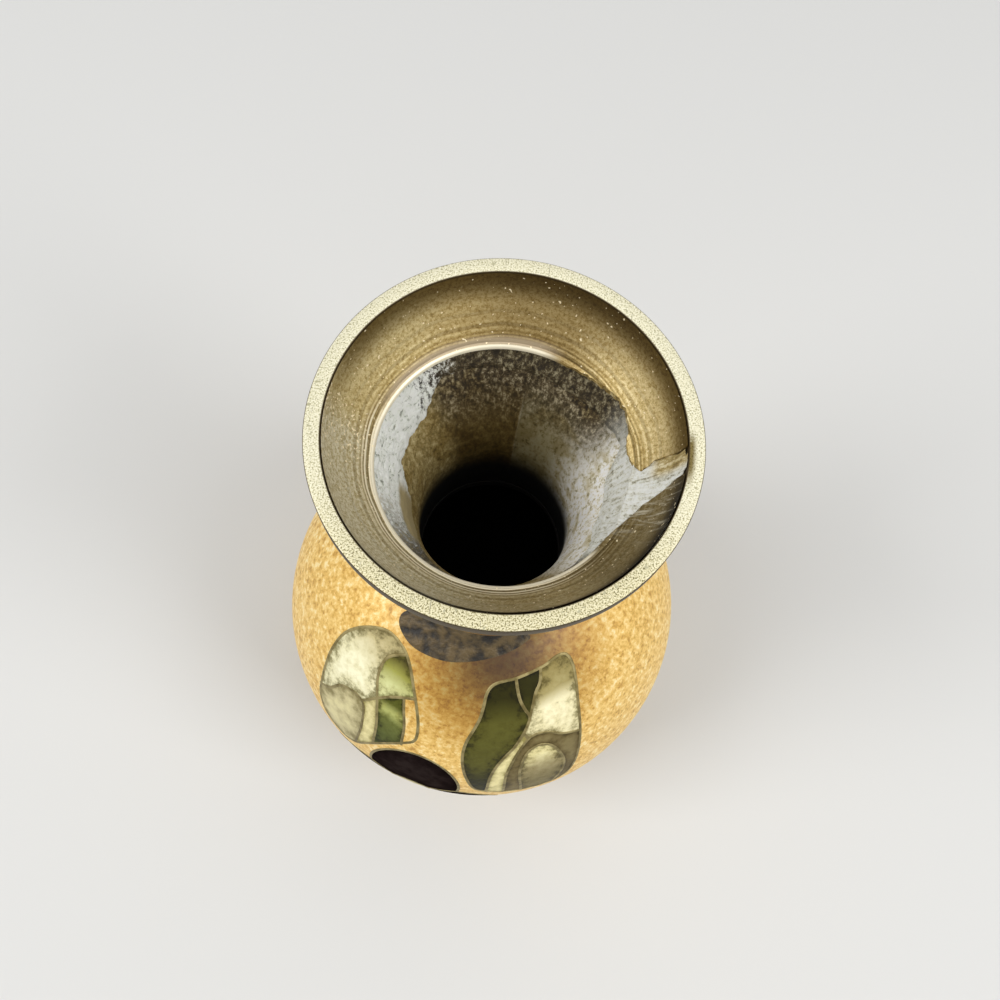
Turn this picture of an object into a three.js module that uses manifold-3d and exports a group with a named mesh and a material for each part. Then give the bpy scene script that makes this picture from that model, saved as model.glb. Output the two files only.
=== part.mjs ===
// Cloisonne bud vase: a raised metal body under wired enamel, a rolled and soldered neck,
// and a brass mouth whose spun funnel is torn and cracked along its inner lip.
// Millimetres, +Z up, standing on Z = 0 with the vase's axis on Z.
// Azimuths are degrees from the front (-Y) towards +X, elevations are degrees above the belly.

import * as THREE from "three";
import { mergeVertices } from "three/addons/utils/BufferGeometryUtils.js";
import Module from "manifold-3d";

const wasm = await Module();
wasm.setup();

// Outer form
const HEIGHT = 102;
const BELLY_RADIUS = 31.8;
const BELLY_HEIGHT = 28.5;
const NECK_RADIUS = 11.05;
const ROOT_FILLET = 6;
const FLARE_HEIGHT = 27;
const FLARE_RISE = 10.8;

// Walls, from the outside in
const ENAMEL = 0.7;
const BODY_WALL = 0.7;
const TUBE_WALL = 0.6;
const FIT = 0.25;

// Foot
const FOOT_RADIUS = 17;
const FOOT_HEIGHT = 3.6;
const FOOT_WIDTH = 2.4;
const FOOT_BEVEL = 0.4;
const BASE_PLATE = 0.8;
const BASE_ENAMEL = 0.6;

// Wires
const WIRE_WIDTH = 0.5;
const WIRE_PROUD = 0.12;
const BORDER_WIRE = 0.7;

// Mouth
const RIM_RADIUS = 20;
const RIM_WIDTH = 1.7;
const RIM_HEIGHT = 1.8;
const RIM_EDGE = 0.25;
const FUNNEL_WALL = 0.5;
const FUNNEL_DROP = 1;
const LIP_RADIUS = 13.6;
const LIP_DEPTH = 8.3;
const BOWL_OUT = 2.8;
const BOWL_UP = 3.1;
const UNDERCUT = 1.5;

// Solder
const SOLDER_THICKNESS = 0.55;
const BRAZE_WIDTH = 0.6;
const BRAZE_AZIMUTH = 174;

// Facets
const AROUND = 28;
const ARC_STEP = 2.5;
const ARC_SAG = 0.9;

const BRASS = { color: 0xb9a77c, roughness: 0.42, metalness: 1 };
const WORN_BRASS = { color: 0x7d6a45, roughness: 0.45, metalness: 1 };
const TUBE_BRASS = { color: 0x5d5439, roughness: 0.6, metalness: 1 };
const COPPER = { color: 0x8a5a3c, roughness: 0.5, metalness: 1 };
const WIRE_BRASS = { color: 0x8d7f5a, roughness: 0.4, metalness: 1 };
const SOLDER = { color: 0x9c9a94, roughness: 0.75, metalness: 0.7 };
const GOLDSTONE = { color: 0xb07c35, roughness: 0.3, metalness: 0.1 };
const COUNTER_BLUE = { color: 0x3f8f93, roughness: 0.25, metalness: 0 };
const PALE_GREEN = { color: 0xb9bda0, roughness: 0.3, metalness: 0 };
const OLIVE_YELLOW = { color: 0x9d9a66, roughness: 0.3, metalness: 0 };
const BEIGE = { color: 0xa39a78, roughness: 0.35, metalness: 0 };
const LIGHT_GREEN = { color: 0x8ba670, roughness: 0.3, metalness: 0 };
const DARK_GREEN = { color: 0x45561f, roughness: 0.3, metalness: 0 };
const BROWN = { color: 0x5f5230, roughness: 0.35, metalness: 0 };
const AUBERGINE = { color: 0x2c1c27, roughness: 0.25, metalness: 0 };

const degrees = THREE.MathUtils.degToRad;
const point = (x, y) => new THREE.Vector2(x, y);
const vase = new THREE.Group();

// Geometry and solids

function toSolid(geometry) {
  const bare = geometry.clone();
  bare.deleteAttribute("normal");
  bare.deleteAttribute("uv");
  const merged = mergeVertices(bare, 1e-4);
  const vertProperties = new Float32Array(merged.attributes.position.array);
  const triVerts = new Uint32Array(merged.index.array);
  return new wasm.Manifold(new wasm.Mesh({ numProp: 3, vertProperties, triVerts }));
}

function add(name, solid, finish) {
  const mesh = solid.getMesh();
  const geometry = new THREE.BufferGeometry();
  geometry.setAttribute("position", new THREE.BufferAttribute(new Float32Array(mesh.vertProperties), 3));
  geometry.setIndex(new THREE.BufferAttribute(new Uint32Array(mesh.triVerts), 1));
  geometry.computeVertexNormals();
  const piece = new THREE.Mesh(geometry, new THREE.MeshStandardMaterial(finish));
  piece.name = name;
  vase.add(piece);
}

function warp(geometry, move) {
  const position = geometry.attributes.position;
  const vertex = new THREE.Vector3();
  for (let i = 0; i < position.count; i++) {
    vertex.fromBufferAttribute(position, i);
    move(vertex);
    position.setXYZ(i, vertex.x, vertex.y, vertex.z);
  }
  return geometry;
}

function largest(solid) {
  return solid.decompose().reduce((a, b) => (b.volume() > a.volume() ? b : a));
}

// A closed profile of (radius, height) points turned about Z, with azimuth 0 at -Y.
function turned(profile) {
  const closed = [...profile];
  if (THREE.ShapeUtils.isClockWise(closed)) closed.reverse();
  const geometry = new THREE.LatheGeometry([...closed, closed[0]], AROUND);
  return geometry.rotateX(Math.PI / 2);
}

// Places that follow from the sizes

const METAL_DEPTH = ENAMEL + FIT;
const TUBE_DEPTH = METAL_DEPTH + TUBE_WALL;
const rimInner = RIM_RADIUS - RIM_WIDTH;
const funnelTop = HEIGHT - FUNNEL_DROP;
const lipHeight = HEIGHT - LIP_DEPTH;
const bodyFoot = FOOT_HEIGHT + 2 * FIT + BORDER_WIRE;
const lowerHeight = (BELLY_HEIGHT - bodyFoot) / Math.sqrt(1 - (FOOT_RADIUS / BELLY_RADIUS) ** 2);
const footAngle = Math.acos(FOOT_RADIUS / BELLY_RADIUS);
const filletRadius = NECK_RADIUS + ROOT_FILLET;
const rootAngle = Math.acos(filletRadius / (BELLY_RADIUS + ROOT_FILLET));
const neckFoot = BELLY_HEIGHT + (BELLY_RADIUS + ROOT_FILLET) * Math.sin(rootAngle);
const neckTop = HEIGHT - RIM_HEIGHT - FIT;
const flareFoot = neckTop - FLARE_HEIGHT;
const borderHeight = neckFoot + BORDER_WIRE / 2;

// Profiles of the wall

// The enamel's outer line from foot to mouth ring, as [curve, facets] stretches.
function skinProfile() {
  const knee = point(NECK_RADIUS, flareFoot);
  const rise = point(NECK_RADIUS, flareFoot + FLARE_RISE);
  const spread = point(LIP_RADIUS + FUNNEL_WALL + TUBE_DEPTH + UNDERCUT, lipHeight - UNDERCUT);
  const mouth = point(rimInner + TUBE_DEPTH, neckTop);
  const stretches = [
    [new THREE.EllipseCurve(0, BELLY_HEIGHT, BELLY_RADIUS, lowerHeight, -footAngle, 0), 4],
    [new THREE.EllipseCurve(0, BELLY_HEIGHT, BELLY_RADIUS, BELLY_RADIUS, 0, rootAngle), 4],
    [
      new THREE.EllipseCurve(
        filletRadius, neckFoot, ROOT_FILLET, ROOT_FILLET, Math.PI + rootAngle, Math.PI, true,
      ),
      3,
    ],
    [new THREE.CubicBezierCurve(knee, rise, spread, mouth), 5],
  ];
  const points = stretches.flatMap(([curve, facets]) => curve.getPoints(facets));
  return points.filter((spot, i) => i === 0 || spot.distanceTo(points[i - 1]) > 0.01);
}

const SKIN = skinProfile();

// The line moved sideways, to the right of its direction where the distance is positive.
function aside(line, distance) {
  return line.map((spot, i) => {
    const before = line[Math.max(i - 1, 0)];
    const after = line[Math.min(i + 1, line.length - 1)];
    const heading = after.clone().sub(before).normalize();
    return point(spot.x + heading.y * distance, spot.y - heading.x * distance);
  });
}

function radiusAt(line, height) {
  const above = line.slice(1, -1).findIndex((spot) => spot.y > height);
  const i = above < 0 ? line.length - 1 : above + 1;
  const [low, high] = [line[i - 1], line[i]];
  return THREE.MathUtils.mapLinear(height, low.y, high.y, low.x, high.x);
}

function between(line, low, high) {
  const inside = line.filter((spot) => spot.y > low + 0.05 && spot.y < high - 0.05);
  return [point(radiusAt(line, low), low), ...inside, point(radiusAt(line, high), high)];
}

// A sleeve of the wall between two heights and two depths under the skin.
function sleeveProfile(low, high, outerDepth, innerDepth) {
  const outer = between(aside(SKIN, -outerDepth), low, high);
  const inner = between(aside(SKIN, -innerDepth), low, high);
  return [...outer, ...inner.reverse()];
}

const sleeve = (...sizes) => toSolid(turned(sleeveProfile(...sizes)));

// Body and foot

const shellFoot = FOOT_HEIGHT + FIT;
const shellTop = neckFoot;
const tubeFoot = shellTop + FIT;

function addBody() {
  const shell = sleeve(shellFoot, shellTop, METAL_DEPTH, METAL_DEPTH + BODY_WALL);
  add("body_shell", shell, COPPER);
  const mouth = radiusAt(aside(SKIN, -METAL_DEPTH - BODY_WALL), shellFoot) - FIT;
  add("base_plate", disc(mouth, shellFoot, shellFoot + BASE_PLATE), COPPER);
}

function disc(radius, low, high) {
  const profile = [point(0, low), point(radius, low), point(radius, high), point(0, high)];
  return toSolid(new THREE.LatheGeometry(profile, AROUND).rotateX(Math.PI / 2));
}

function addFoot() {
  const inner = FOOT_RADIUS - FOOT_WIDTH;
  const ring = [
    point(inner + FOOT_BEVEL, 0),
    point(FOOT_RADIUS - FOOT_BEVEL, 0),
    point(FOOT_RADIUS, FOOT_BEVEL),
    point(FOOT_RADIUS, FOOT_HEIGHT),
    point(inner, FOOT_HEIGHT),
    point(inner, FOOT_BEVEL),
  ];
  add("foot_ring", toSolid(turned(ring)), BRASS);
  add("base_counter_enamel", disc(inner - FIT, FOOT_HEIGHT - BASE_ENAMEL, FOOT_HEIGHT), COUNTER_BLUE);
  const wireFoot = FOOT_HEIGHT + FIT;
  const wire = sleeve(wireFoot, wireFoot + BORDER_WIRE, -WIRE_PROUD, ENAMEL);
  add("foot_wire", wire, WIRE_BRASS);
}

// Neck

function slitBlock(width) {
  const block = new THREE.BoxGeometry(width, BELLY_RADIUS, 2 * HEIGHT);
  block.translate(0, -BELLY_RADIUS / 2, 0);
  return toSolid(block.rotateZ(degrees(BRAZE_AZIMUTH)));
}

function addNeck() {
  const tube = sleeve(tubeFoot, neckTop, METAL_DEPTH, TUBE_DEPTH);
  add("neck_tube", tube.subtract(slitBlock(BRAZE_WIDTH + 2 * FIT)), TUBE_BRASS);
  add("neck_seam_braze", tube.intersect(slitBlock(BRAZE_WIDTH)), WIRE_BRASS);
  const wire = sleeve(borderHeight - BORDER_WIRE / 2, borderHeight + BORDER_WIRE / 2, -WIRE_PROUD, ENAMEL);
  add("shoulder_wire", wire, WIRE_BRASS);
  add("ground_neck", sleeve(borderHeight + BORDER_WIRE / 2 + FIT, neckTop, 0, ENAMEL), GOLDSTONE);
}

// Mouth ring, and the torn funnel inside it

// What is torn out of the funnel in plan, as azimuth and radius outside the lip, anticlockwise.
const TEAR = [
  [45, -2], [50, -0.1], [59, 0.1], [65, 0.4], [72, 1.1], [78.5, 2.0], [82.5, 3.2], [85.4, 4.1],
  [86.5, 5.5], [94, 5.5], [95, 4.2], [95.8, 3.4], [96.3, 2.4], [93.2, 1.2], [97.5, 0.5],
  [103, 0.05], [109, 0.1], [112, 0.6], [115, 0.8], [121, 1.1], [127.5, 1.1], [136, 0.7],
  [147, 0.4], [158, 0.05], [168, -0.1], [172, -2],
];
// Which of those points bound the crack that runs up to the ring.
const CRACK_START = 3;
const CRACK_END = 15;

function addRim() {
  const profile = [
    point(rimInner, HEIGHT - RIM_HEIGHT),
    point(RIM_RADIUS - RIM_EDGE, HEIGHT - RIM_HEIGHT),
    point(RIM_RADIUS, HEIGHT - RIM_HEIGHT + RIM_EDGE),
    point(RIM_RADIUS, HEIGHT - RIM_EDGE),
    point(RIM_RADIUS - RIM_EDGE, HEIGHT),
    point(rimInner, HEIGHT),
  ];
  add("rim_ring", toSolid(turned(profile)), BRASS);
}

function funnelSheet(extra) {
  const top = rimInner - FIT - FUNNEL_WALL;
  const bowl = new THREE.QuadraticBezierCurve(
    point(LIP_RADIUS, lipHeight),
    point(LIP_RADIUS + BOWL_OUT, lipHeight + BOWL_UP),
    point(top, funnelTop),
  );
  const face = bowl.getPoints(4);
  const inner = aside(face, -extra);
  const outer = aside(face, FUNNEL_WALL + extra);
  return toSolid(turned([...inner, ...outer.reverse()]));
}

function planPoint(azimuth, radius) {
  return point(radius * Math.sin(degrees(azimuth)), -radius * Math.cos(degrees(azimuth)));
}

function planPlug(table, margin) {
  const outline = table.map(([azimuth, out]) => planPoint(azimuth, LIP_RADIUS + out));
  const shape = new THREE.Shape(grow(outline, margin));
  const block = new THREE.ExtrudeGeometry(shape, { depth: 4 * LIP_DEPTH, bevelEnabled: false });
  return toSolid(block.translate(0, 0, HEIGHT - 3 * LIP_DEPTH));
}

function addFunnel() {
  add("mouth_funnel", funnelSheet(0).subtract(planPlug(TEAR, 0)), WORN_BRASS);
}

// Solder collar between funnel and neck tube: by azimuth, how far it runs down below the lip,
// and how far it rises behind the torn edge.
const COLLAR_DROP = [
  [-180, 4.2], [-142, 3.7], [-127, 7.4], [-112, 7.9], [-100, 8.5], [-91, 10.5], [-72, 12.2],
  [-60, 12.7], [-40, 9.7], [-10, 6.7], [25, 5.2], [50, 5.7], [64, 6.5], [75, 8.3], [83, 7.7],
  [102, 6.9], [112, 2.9], [140, 4.4], [180, 4.2],
];
const COLLAR_RISE = [
  [-180, 0], [60, 0], [70, 1.2], [77, 3.2], [90, 3.8], [97, 1.6], [105, 0.2], [120, 0.6],
  [140, 0.4], [160, 0], [180, 0],
];

// The collar's section: shares of its thickness in from the wall, and of its height.
const COLLAR_SECTION = [[0, 0], [0, 0.5], [0, 1], [0.7, 1], [1, 0.8], [1, 0.25], [0.5, 0]];

function along(table, azimuth) {
  const i = Math.max(1, table.findIndex(([angle]) => angle >= azimuth));
  const [a, b] = [table[i - 1], table[i]];
  return THREE.MathUtils.mapLinear(azimuth, a[0], b[0], a[1], b[1]);
}

function collarRing() {
  const wall = aside(SKIN, -TUBE_DEPTH - FIT);
  const underLip = lipHeight - FUNNEL_WALL - FIT;
  const blank = turned(COLLAR_SECTION.map(([inward, up]) => point(LIP_RADIUS - inward, up)));
  return warp(blank, (vertex) => {
    const azimuth = THREE.MathUtils.radToDeg(Math.atan2(vertex.x, -vertex.y));
    const depth = LIP_RADIUS - Math.hypot(vertex.x, vertex.y);
    const low = lipHeight - along(COLLAR_DROP, azimuth);
    const high = underLip + along(COLLAR_RISE, azimuth);
    vertex.z = THREE.MathUtils.lerp(low, high, vertex.z);
    const radius = radiusAt(wall, vertex.z) - depth * SOLDER_THICKNESS;
    const plan = planPoint(azimuth, radius);
    vertex.x = plan.x;
    vertex.y = plan.y;
  });
}

function addThroatSolder() {
  const tongue = funnelSheet(0).intersect(planPlug(TEAR.slice(CRACK_START, CRACK_END), -FIT));
  const kept = funnelSheet(FIT).subtract(planPlug(TEAR, -FIT));
  const collar = toSolid(collarRing()).add(tongue).subtract(kept);
  add("throat_solder", largest(collar), SOLDER);
}

// Enamel cells and wires: outlines are drawn in degrees round the belly, to the right and up,
// about a centre given by azimuth and elevation, and cut straight in towards the belly's centre.

// How far in and out a cut reaches, as shares of the belly's radius.
const CUT_IN = 0.78;
const CUT_OUT = 1.25;
const SEED_FACETS = 8;

// A length on the belly, as degrees of arc.
const arc = (length) => THREE.MathUtils.radToDeg(length / BELLY_RADIUS);

function aim(azimuth, elevation) {
  const plan = planPoint(azimuth, Math.cos(degrees(elevation)));
  return new THREE.Vector3(plan.x, plan.y, Math.sin(degrees(elevation)));
}

function placeOnBelly({ azimuth, elevation, turn = 0 }) {
  const out = aim(azimuth, elevation);
  const right = aim(azimuth + 90, 0);
  const up = out.clone().cross(right);
  return (vertex) => {
    const angle = degrees(Math.hypot(vertex.x, vertex.y));
    const bearing = Math.atan2(vertex.x, vertex.y) + degrees(turn);
    const reach = vertex.z;
    vertex.copy(out).multiplyScalar(Math.cos(angle));
    vertex.addScaledVector(right, Math.sin(angle) * Math.sin(bearing));
    vertex.addScaledVector(up, Math.sin(angle) * Math.cos(bearing));
    vertex.multiplyScalar(reach);
    vertex.z += BELLY_HEIGHT;
  };
}

// Outline points moved outwards where the distance is positive, with mitred corners.
function grow(outline, distance) {
  const points = THREE.ShapeUtils.isClockWise(outline) ? [...outline].reverse() : outline;
  const outward = (a, b) => point(b.y - a.y, a.x - b.x).normalize();
  return points.map((corner, i) => {
    const before = outward(points.at(i - 1), corner);
    const after = outward(corner, points[(i + 1) % points.length]);
    const mitre = before.clone().add(after).normalize();
    return corner.clone().addScaledVector(mitre, distance / Math.max(mitre.dot(before), 0.5));
  });
}

function chordGap(spot, from, to) {
  const chord = to.clone().sub(from);
  return Math.abs(chord.cross(spot.clone().sub(from))) / Math.max(chord.length(), ARC_STEP);
}

// The line with only the points that its shape needs.
function thinned(line) {
  const kept = [line[0]];
  let from = 0;
  for (let to = 2; to < line.length; to++) {
    const skipped = line.slice(from + 1, to);
    if (skipped.every((spot) => chordGap(spot, line[from], line[to]) < ARC_SAG)) continue;
    from = to - 1;
    kept.push(line[from]);
  }
  return [...kept, line.at(-1)];
}

function through(list, closed) {
  const knots = list.map(([x, y]) => new THREE.Vector3(x, y, 0));
  const curve = new THREE.CatmullRomCurve3(knots, closed, "centripetal");
  const count = Math.ceil(curve.getLength() / ARC_STEP);
  const points = curve.getSpacedPoints(count).map(({ x, y }) => point(x, y));
  return closed ? thinned(points).slice(0, -1) : thinned(points);
}

// An open line widened into a strip that runs on past both ends.
function strip(line, half) {
  const ends = [line[0].clone().sub(line[1]), line.at(-1).clone().sub(line.at(-2))];
  const first = line[0].clone().addScaledVector(ends[0].normalize(), half);
  const last = line.at(-1).clone().addScaledVector(ends[1].normalize(), half);
  const long = [first, ...line.slice(1, -1), last];
  return [...aside(long, half), ...aside(long, -half).reverse()];
}

function plug(points, place) {
  const depth = (CUT_OUT - CUT_IN) * BELLY_RADIUS;
  const block = new THREE.ExtrudeGeometry(new THREE.Shape(points), { depth, bevelEnabled: false });
  block.translate(0, 0, CUT_IN * BELLY_RADIUS);
  return toSolid(warp(block, place));
}

const motifTop = borderHeight - BORDER_WIRE / 2 - FIT;
const motifFoot = bodyFoot;
const enamelSkin = sleeve(motifFoot, motifTop, 0, ENAMEL);
const wireSkin = sleeve(motifFoot, motifTop, -WIRE_PROUD, ENAMEL);
let groundBody = enamelSkin;

// One motif: a network of wires soldered on edge, and the enamel cells that it holds.
function addMotif(motif) {
  const place = placeOnBelly(motif);
  const half = arc(WIRE_WIDTH / 2);
  const gap = arc(FIT);
  const around = (ring, width) => plug(grow(ring, width), place).subtract(plug(grow(ring, -width), place));
  const partings = (width) => {
    const strips = motif.lines.map((line) => plug(strip(line, width), place));
    return wasm.Manifold.union(motif.ring ? [...strips, around(motif.ring, width)] : strips);
  };
  const inside = plug(grow(motif.outline, 0), place);
  const network = around(motif.outline, half).add(partings(half).intersect(inside));
  add(motif.name + "_wires", largest(network.intersect(wireSkin)), WIRE_BRASS);
  const field = plug(grow(motif.outline, -half - gap), place).intersect(enamelSkin);
  const cells = field.subtract(partings(half + gap)).decompose();
  for (const [name, x, y, finish] of motif.cells) {
    const seed = new THREE.Vector3(x, y, BELLY_RADIUS - ENAMEL / 2);
    place(seed);
    add(motif.name + "_" + name, cellAt(cells, seed), finish);
  }
  groundBody = groundBody.subtract(plug(grow(motif.outline, half + gap), place));
}

// The cell that a ball round the seed meets most.
function cellAt(cells, seed) {
  const ball = wasm.Manifold.sphere(ENAMEL, SEED_FACETS).translate(seed.x, seed.y, seed.z);
  const shared = cells.map((cell) => cell.intersect(ball).volume());
  return cells[shared.indexOf(Math.max(...shared))];
}

// Leaves

const LEFT_LEAF = {
  name: "front_left_leaf",
  azimuth: -37,
  elevation: 30,
  outline: through([
    [-4.5, 26.5], [1.5, 26.5], [6, 24], [10.5, 19.5], [14.5, 14.7], [17.5, 9.8], [19, 4.5],
    [17, 0.8], [13, -4.8], [9.3, -11], [6.3, -17], [3.5, -20.5], [0, -22], [-6.5, -20],
    [-10.5, -13], [-11.8, -6], [-13, 1], [-14, 8], [-13.5, 15.5], [-10, 22],
  ], true),
  lines: [
    through([
      [3.6, 25.8], [1.3, 23.5], [0, 21], [0.1, 18.3], [1.1, 14.9], [3.2, 11.2], [5.5, 7],
      [8.4, 0.1], [10.3, -9.3],
    ], false),
    through([[-12, -8], [-8.4, -4.2], [-6, 1], [-3, 3.5], [-0.2, 4.4], [2.2, 3.5], [4, -0.5],
      [5.4, -7.6], [5.6, -18]], false),
    through([[1.6, 4.3], [3, 6.6], [4.4, 9]], false),
    through([[4.4, 9], [7, 12.5], [10, 15.3], [12.7, 17.3]], false),
    through([[10, 15.3], [12.2, 11.4], [14.8, 6.4], [16.8, -0.6]], false),
  ],
  cells: [
    ["blade", -5.7, 11.4, PALE_GREEN],
    ["lobe", -2.8, -8.5, OLIVE_YELLOW],
    ["stalk", 6.3, -1.1, BEIGE],
    ["light_green", 4.5, 16.9, LIGHT_GREEN],
    ["dark_green", 10.9, 5.1, DARK_GREEN],
    ["gold", 15, 9.9, GOLDSTONE],
  ],
};

const RIGHT_LEAF = {
  name: "front_right_leaf",
  azimuth: 26,
  elevation: 30,
  outline: through([
    [-11, 24.3], [-8.8, 26.2], [-5.8, 26.6], [-2.8, 26.5], [2, 27], [5.7, 27.5], [9.4, 28.5],
    [12, 27.8], [13, 24.5], [12.8, 19.6], [12.1, 13.4], [11.6, 5.7], [11.2, 0.2], [10.3, -6.9],
    [9.2, -13], [7.4, -18.8], [4, -23], [-3, -23.5], [-9.5, -22.5], [-15.5, -20.5], [-20, -16.5],
    [-21.5, -8], [-21.6, -1], [-20.8, 4.7], [-19.1, 9.4], [-17, 12.8], [-14.4, 16.8],
    [-12.7, 20.4],
  ], true),
  lines: [
    through([
      [-2.8, 26.5], [-3.1, 22.7], [-3, 19.6], [-2.2, 16.5], [-1.5, 14.3], [-2.8, 11.3],
      [-4.9, 8], [-7.2, 4.8], [-10, 1.7], [-13, -2.9], [-15.2, -8.9], [-17, -19.3],
    ], false),
    through([[4.2, 27.2], [3.1, 23.5], [1.4, 21.1], [0, 17.9], [-1.5, 14.3]], false),
    through([
      [-12.2, -21.8], [-10.9, -9.4], [-9, -2.9], [-6.7, 2], [-4.4, 5.4], [-2.3, 7.4],
      [0.2, 7.8], [3.2, 6.7], [6.2, 4.5], [11.3, 2.5],
    ], false),
    through([[-4, 9.3], [-3, 6.9]], false),
    through([[-6.9, -23], [-7, -9.5], [-6, -3.5], [-4.5, 0.5], [-2.5, 2.7], [0, 3.2], [2.6, 1.6],
      [4.7, -2.8], [5.9, -8.5], [5.4, -14.4], [2.6, -23.2]], false),
  ],
  cells: [
    ["green_band", -10.6, 12.5, DARK_GREEN],
    ["small_green", 0.2, 24, DARK_GREEN],
    ["blade", 5.9, 15.1, PALE_GREEN],
    ["stalk", -11.5, -4.6, BEIGE],
    ["rim", 0.2, 5.6, BROWN],
    ["lobe", -0.3, -7.3, OLIVE_YELLOW],
  ],
};

function backLeaf(side) {
  return {
    name: side < 0 ? "back_left_leaf" : "back_right_leaf",
    azimuth: 180 + side * 38,
    elevation: 30,
    turn: side * 35,
    outline: through([
      [0, 20], [6, 11.5], [8, 2], [6, -8], [0, -18], [-6, -8], [-8, 2], [-6, 11.5],
    ], true),
    lines: [through([[0, 20], [1, 2], [0, -18]], false)],
    cells: [
      ["light_half", 4.5, 1, PALE_GREEN],
      ["dark_half", -4, 1, DARK_GREEN],
    ],
  };
}

// Flowers: each petal is an ellipse on a spoke, and the outline is the outermost of them all round.

const EYE_POINTS = 10;
const NOTCH_STEPS = 180;
const PETAL_NAMES = ["petal_top", "petal_left", "petal_lower_left", "petal_lower_right", "petal_right"];

function petalReach({ bearing, centre, length, half }, angle) {
  const long = length - centre;
  const cos = Math.cos(degrees(angle - bearing));
  const sin = Math.sin(degrees(angle - bearing));
  const a = (cos / long) ** 2 + (sin / half) ** 2;
  const b = (-2 * cos * centre) / long ** 2;
  const c = (centre / long) ** 2 - 1;
  return (-b + Math.sqrt(Math.max(b * b - 4 * a * c, 0))) / (2 * a);
}

function flower({ name, azimuth, elevation, petals, eye }) {
  const reach = (angle) => Math.max(...petals.map((petal) => petalReach(petal, angle)));
  const polar = (angle, radius) => point(radius * Math.cos(degrees(angle)), radius * Math.sin(degrees(angle)));
  const notches = petals.map((petal, i) => {
    const next = petals[(i + 1) % petals.length].bearing;
    const end = next > petal.bearing ? next : next + 360;
    return notchBetween(reach, petal.bearing, end);
  });
  const angles = notches.flatMap((from, i) => {
    const to = i + 1 < notches.length ? notches[i + 1] : notches[0] + 360;
    const count = Math.ceil((degrees(to - from) * reach((from + to) / 2)) / ARC_STEP);
    return Array.from({ length: count }, (_, k) => from + ((to - from) * k) / count);
  });
  const rays = angles.map((angle) => polar(angle, reach(angle)));
  const spokes = notches.map((angle) => [polar(angle, eye), polar(angle, reach(angle))]);
  const circle = Array.from({ length: EYE_POINTS }, (_, k) => polar((360 / EYE_POINTS) * k, eye));
  const cells = petals.map((petal, i) => {
    const seed = polar(petal.bearing, (eye + petal.length) / 2);
    return [PETAL_NAMES[i], seed.x, seed.y, AUBERGINE];
  });
  cells.push(["eye", 0, 0, OLIVE_YELLOW]);
  return {
    name,
    azimuth,
    elevation,
    outline: thinned([...rays, rays[0]]).slice(0, -1),
    lines: spokes,
    ring: circle,
    cells,
  };
}

function notchBetween(reach, from, to) {
  const angles = Array.from({ length: NOTCH_STEPS }, (_, k) => from + ((to - from) * k) / NOTCH_STEPS);
  return angles.reduce((a, b) => (reach(b) < reach(a) ? b : a));
}

const FRONT_FLOWER = flower({
  name: "front_flower",
  azimuth: -13,
  elevation: -1,
  eye: 5.8,
  petals: [
    { bearing: 86, centre: 11, length: 27.8, half: 13.4 },
    { bearing: 190, centre: 14.5, length: 26, half: 9.4 },
    { bearing: 243, centre: 14.5, length: 26, half: 10 },
    { bearing: 297, centre: 14.5, length: 26, half: 10 },
    { bearing: 351, centre: 14.5, length: 26, half: 9.7 },
  ],
});

const BACK_FLOWER = flower({
  name: "back_flower",
  azimuth: 180,
  elevation: 1,
  eye: 5,
  petals: PETAL_NAMES.map((_, k) => ({
    bearing: 90 + (360 / PETAL_NAMES.length) * k,
    centre: 12,
    length: 22.5,
    half: 9.4,
  })),
});

// Repair at the neck root: a chip in the enamel, as azimuth and elevation, filled with solder.
const CHIP = [
  [-47, 63], [-43, 59.8], [-31, 58.4], [-15, 59.4], [0, 61.4], [18, 63.4], [34, 65.4],
  [29, 67.6], [8, 68.6], [-18, 68.4], [-38, 67.4],
];

// A point of a chart that is centred on the top of the belly, in degrees.
function placeFromTop(vertex) {
  const azimuth = THREE.MathUtils.radToDeg(Math.atan2(vertex.x, -vertex.y));
  const elevation = 90 - Math.hypot(vertex.x, vertex.y);
  const reach = vertex.z;
  vertex.copy(aim(azimuth, elevation)).multiplyScalar(reach);
  vertex.z += BELLY_HEIGHT;
}

function addRepair() {
  const chip = CHIP.map(([azimuth, elevation]) => planPoint(azimuth, 90 - elevation));
  add("neck_repair_solder", enamelSkin.intersect(plug(grow(chip, -arc(FIT)), placeFromTop)), SOLDER);
  groundBody = groundBody.subtract(plug(chip, placeFromTop));
}

addBody();
addFoot();
addNeck();
addRim();
addFunnel();
addThroatSolder();
for (const motif of [LEFT_LEAF, RIGHT_LEAF, FRONT_FLOWER, BACK_FLOWER, backLeaf(-1), backLeaf(1)]) {
  addMotif(motif);
}
addRepair();
add("ground_body", largest(groundBody), GOLDSTONE);

export default vase;
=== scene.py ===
"""The looks of a small cloisonne bud vase: brass mouth, torn and soldered funnel, goldstone enamel."""

import math
from functools import partial

import bpy
from mathutils import Matrix, Vector, kdtree, noise


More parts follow.
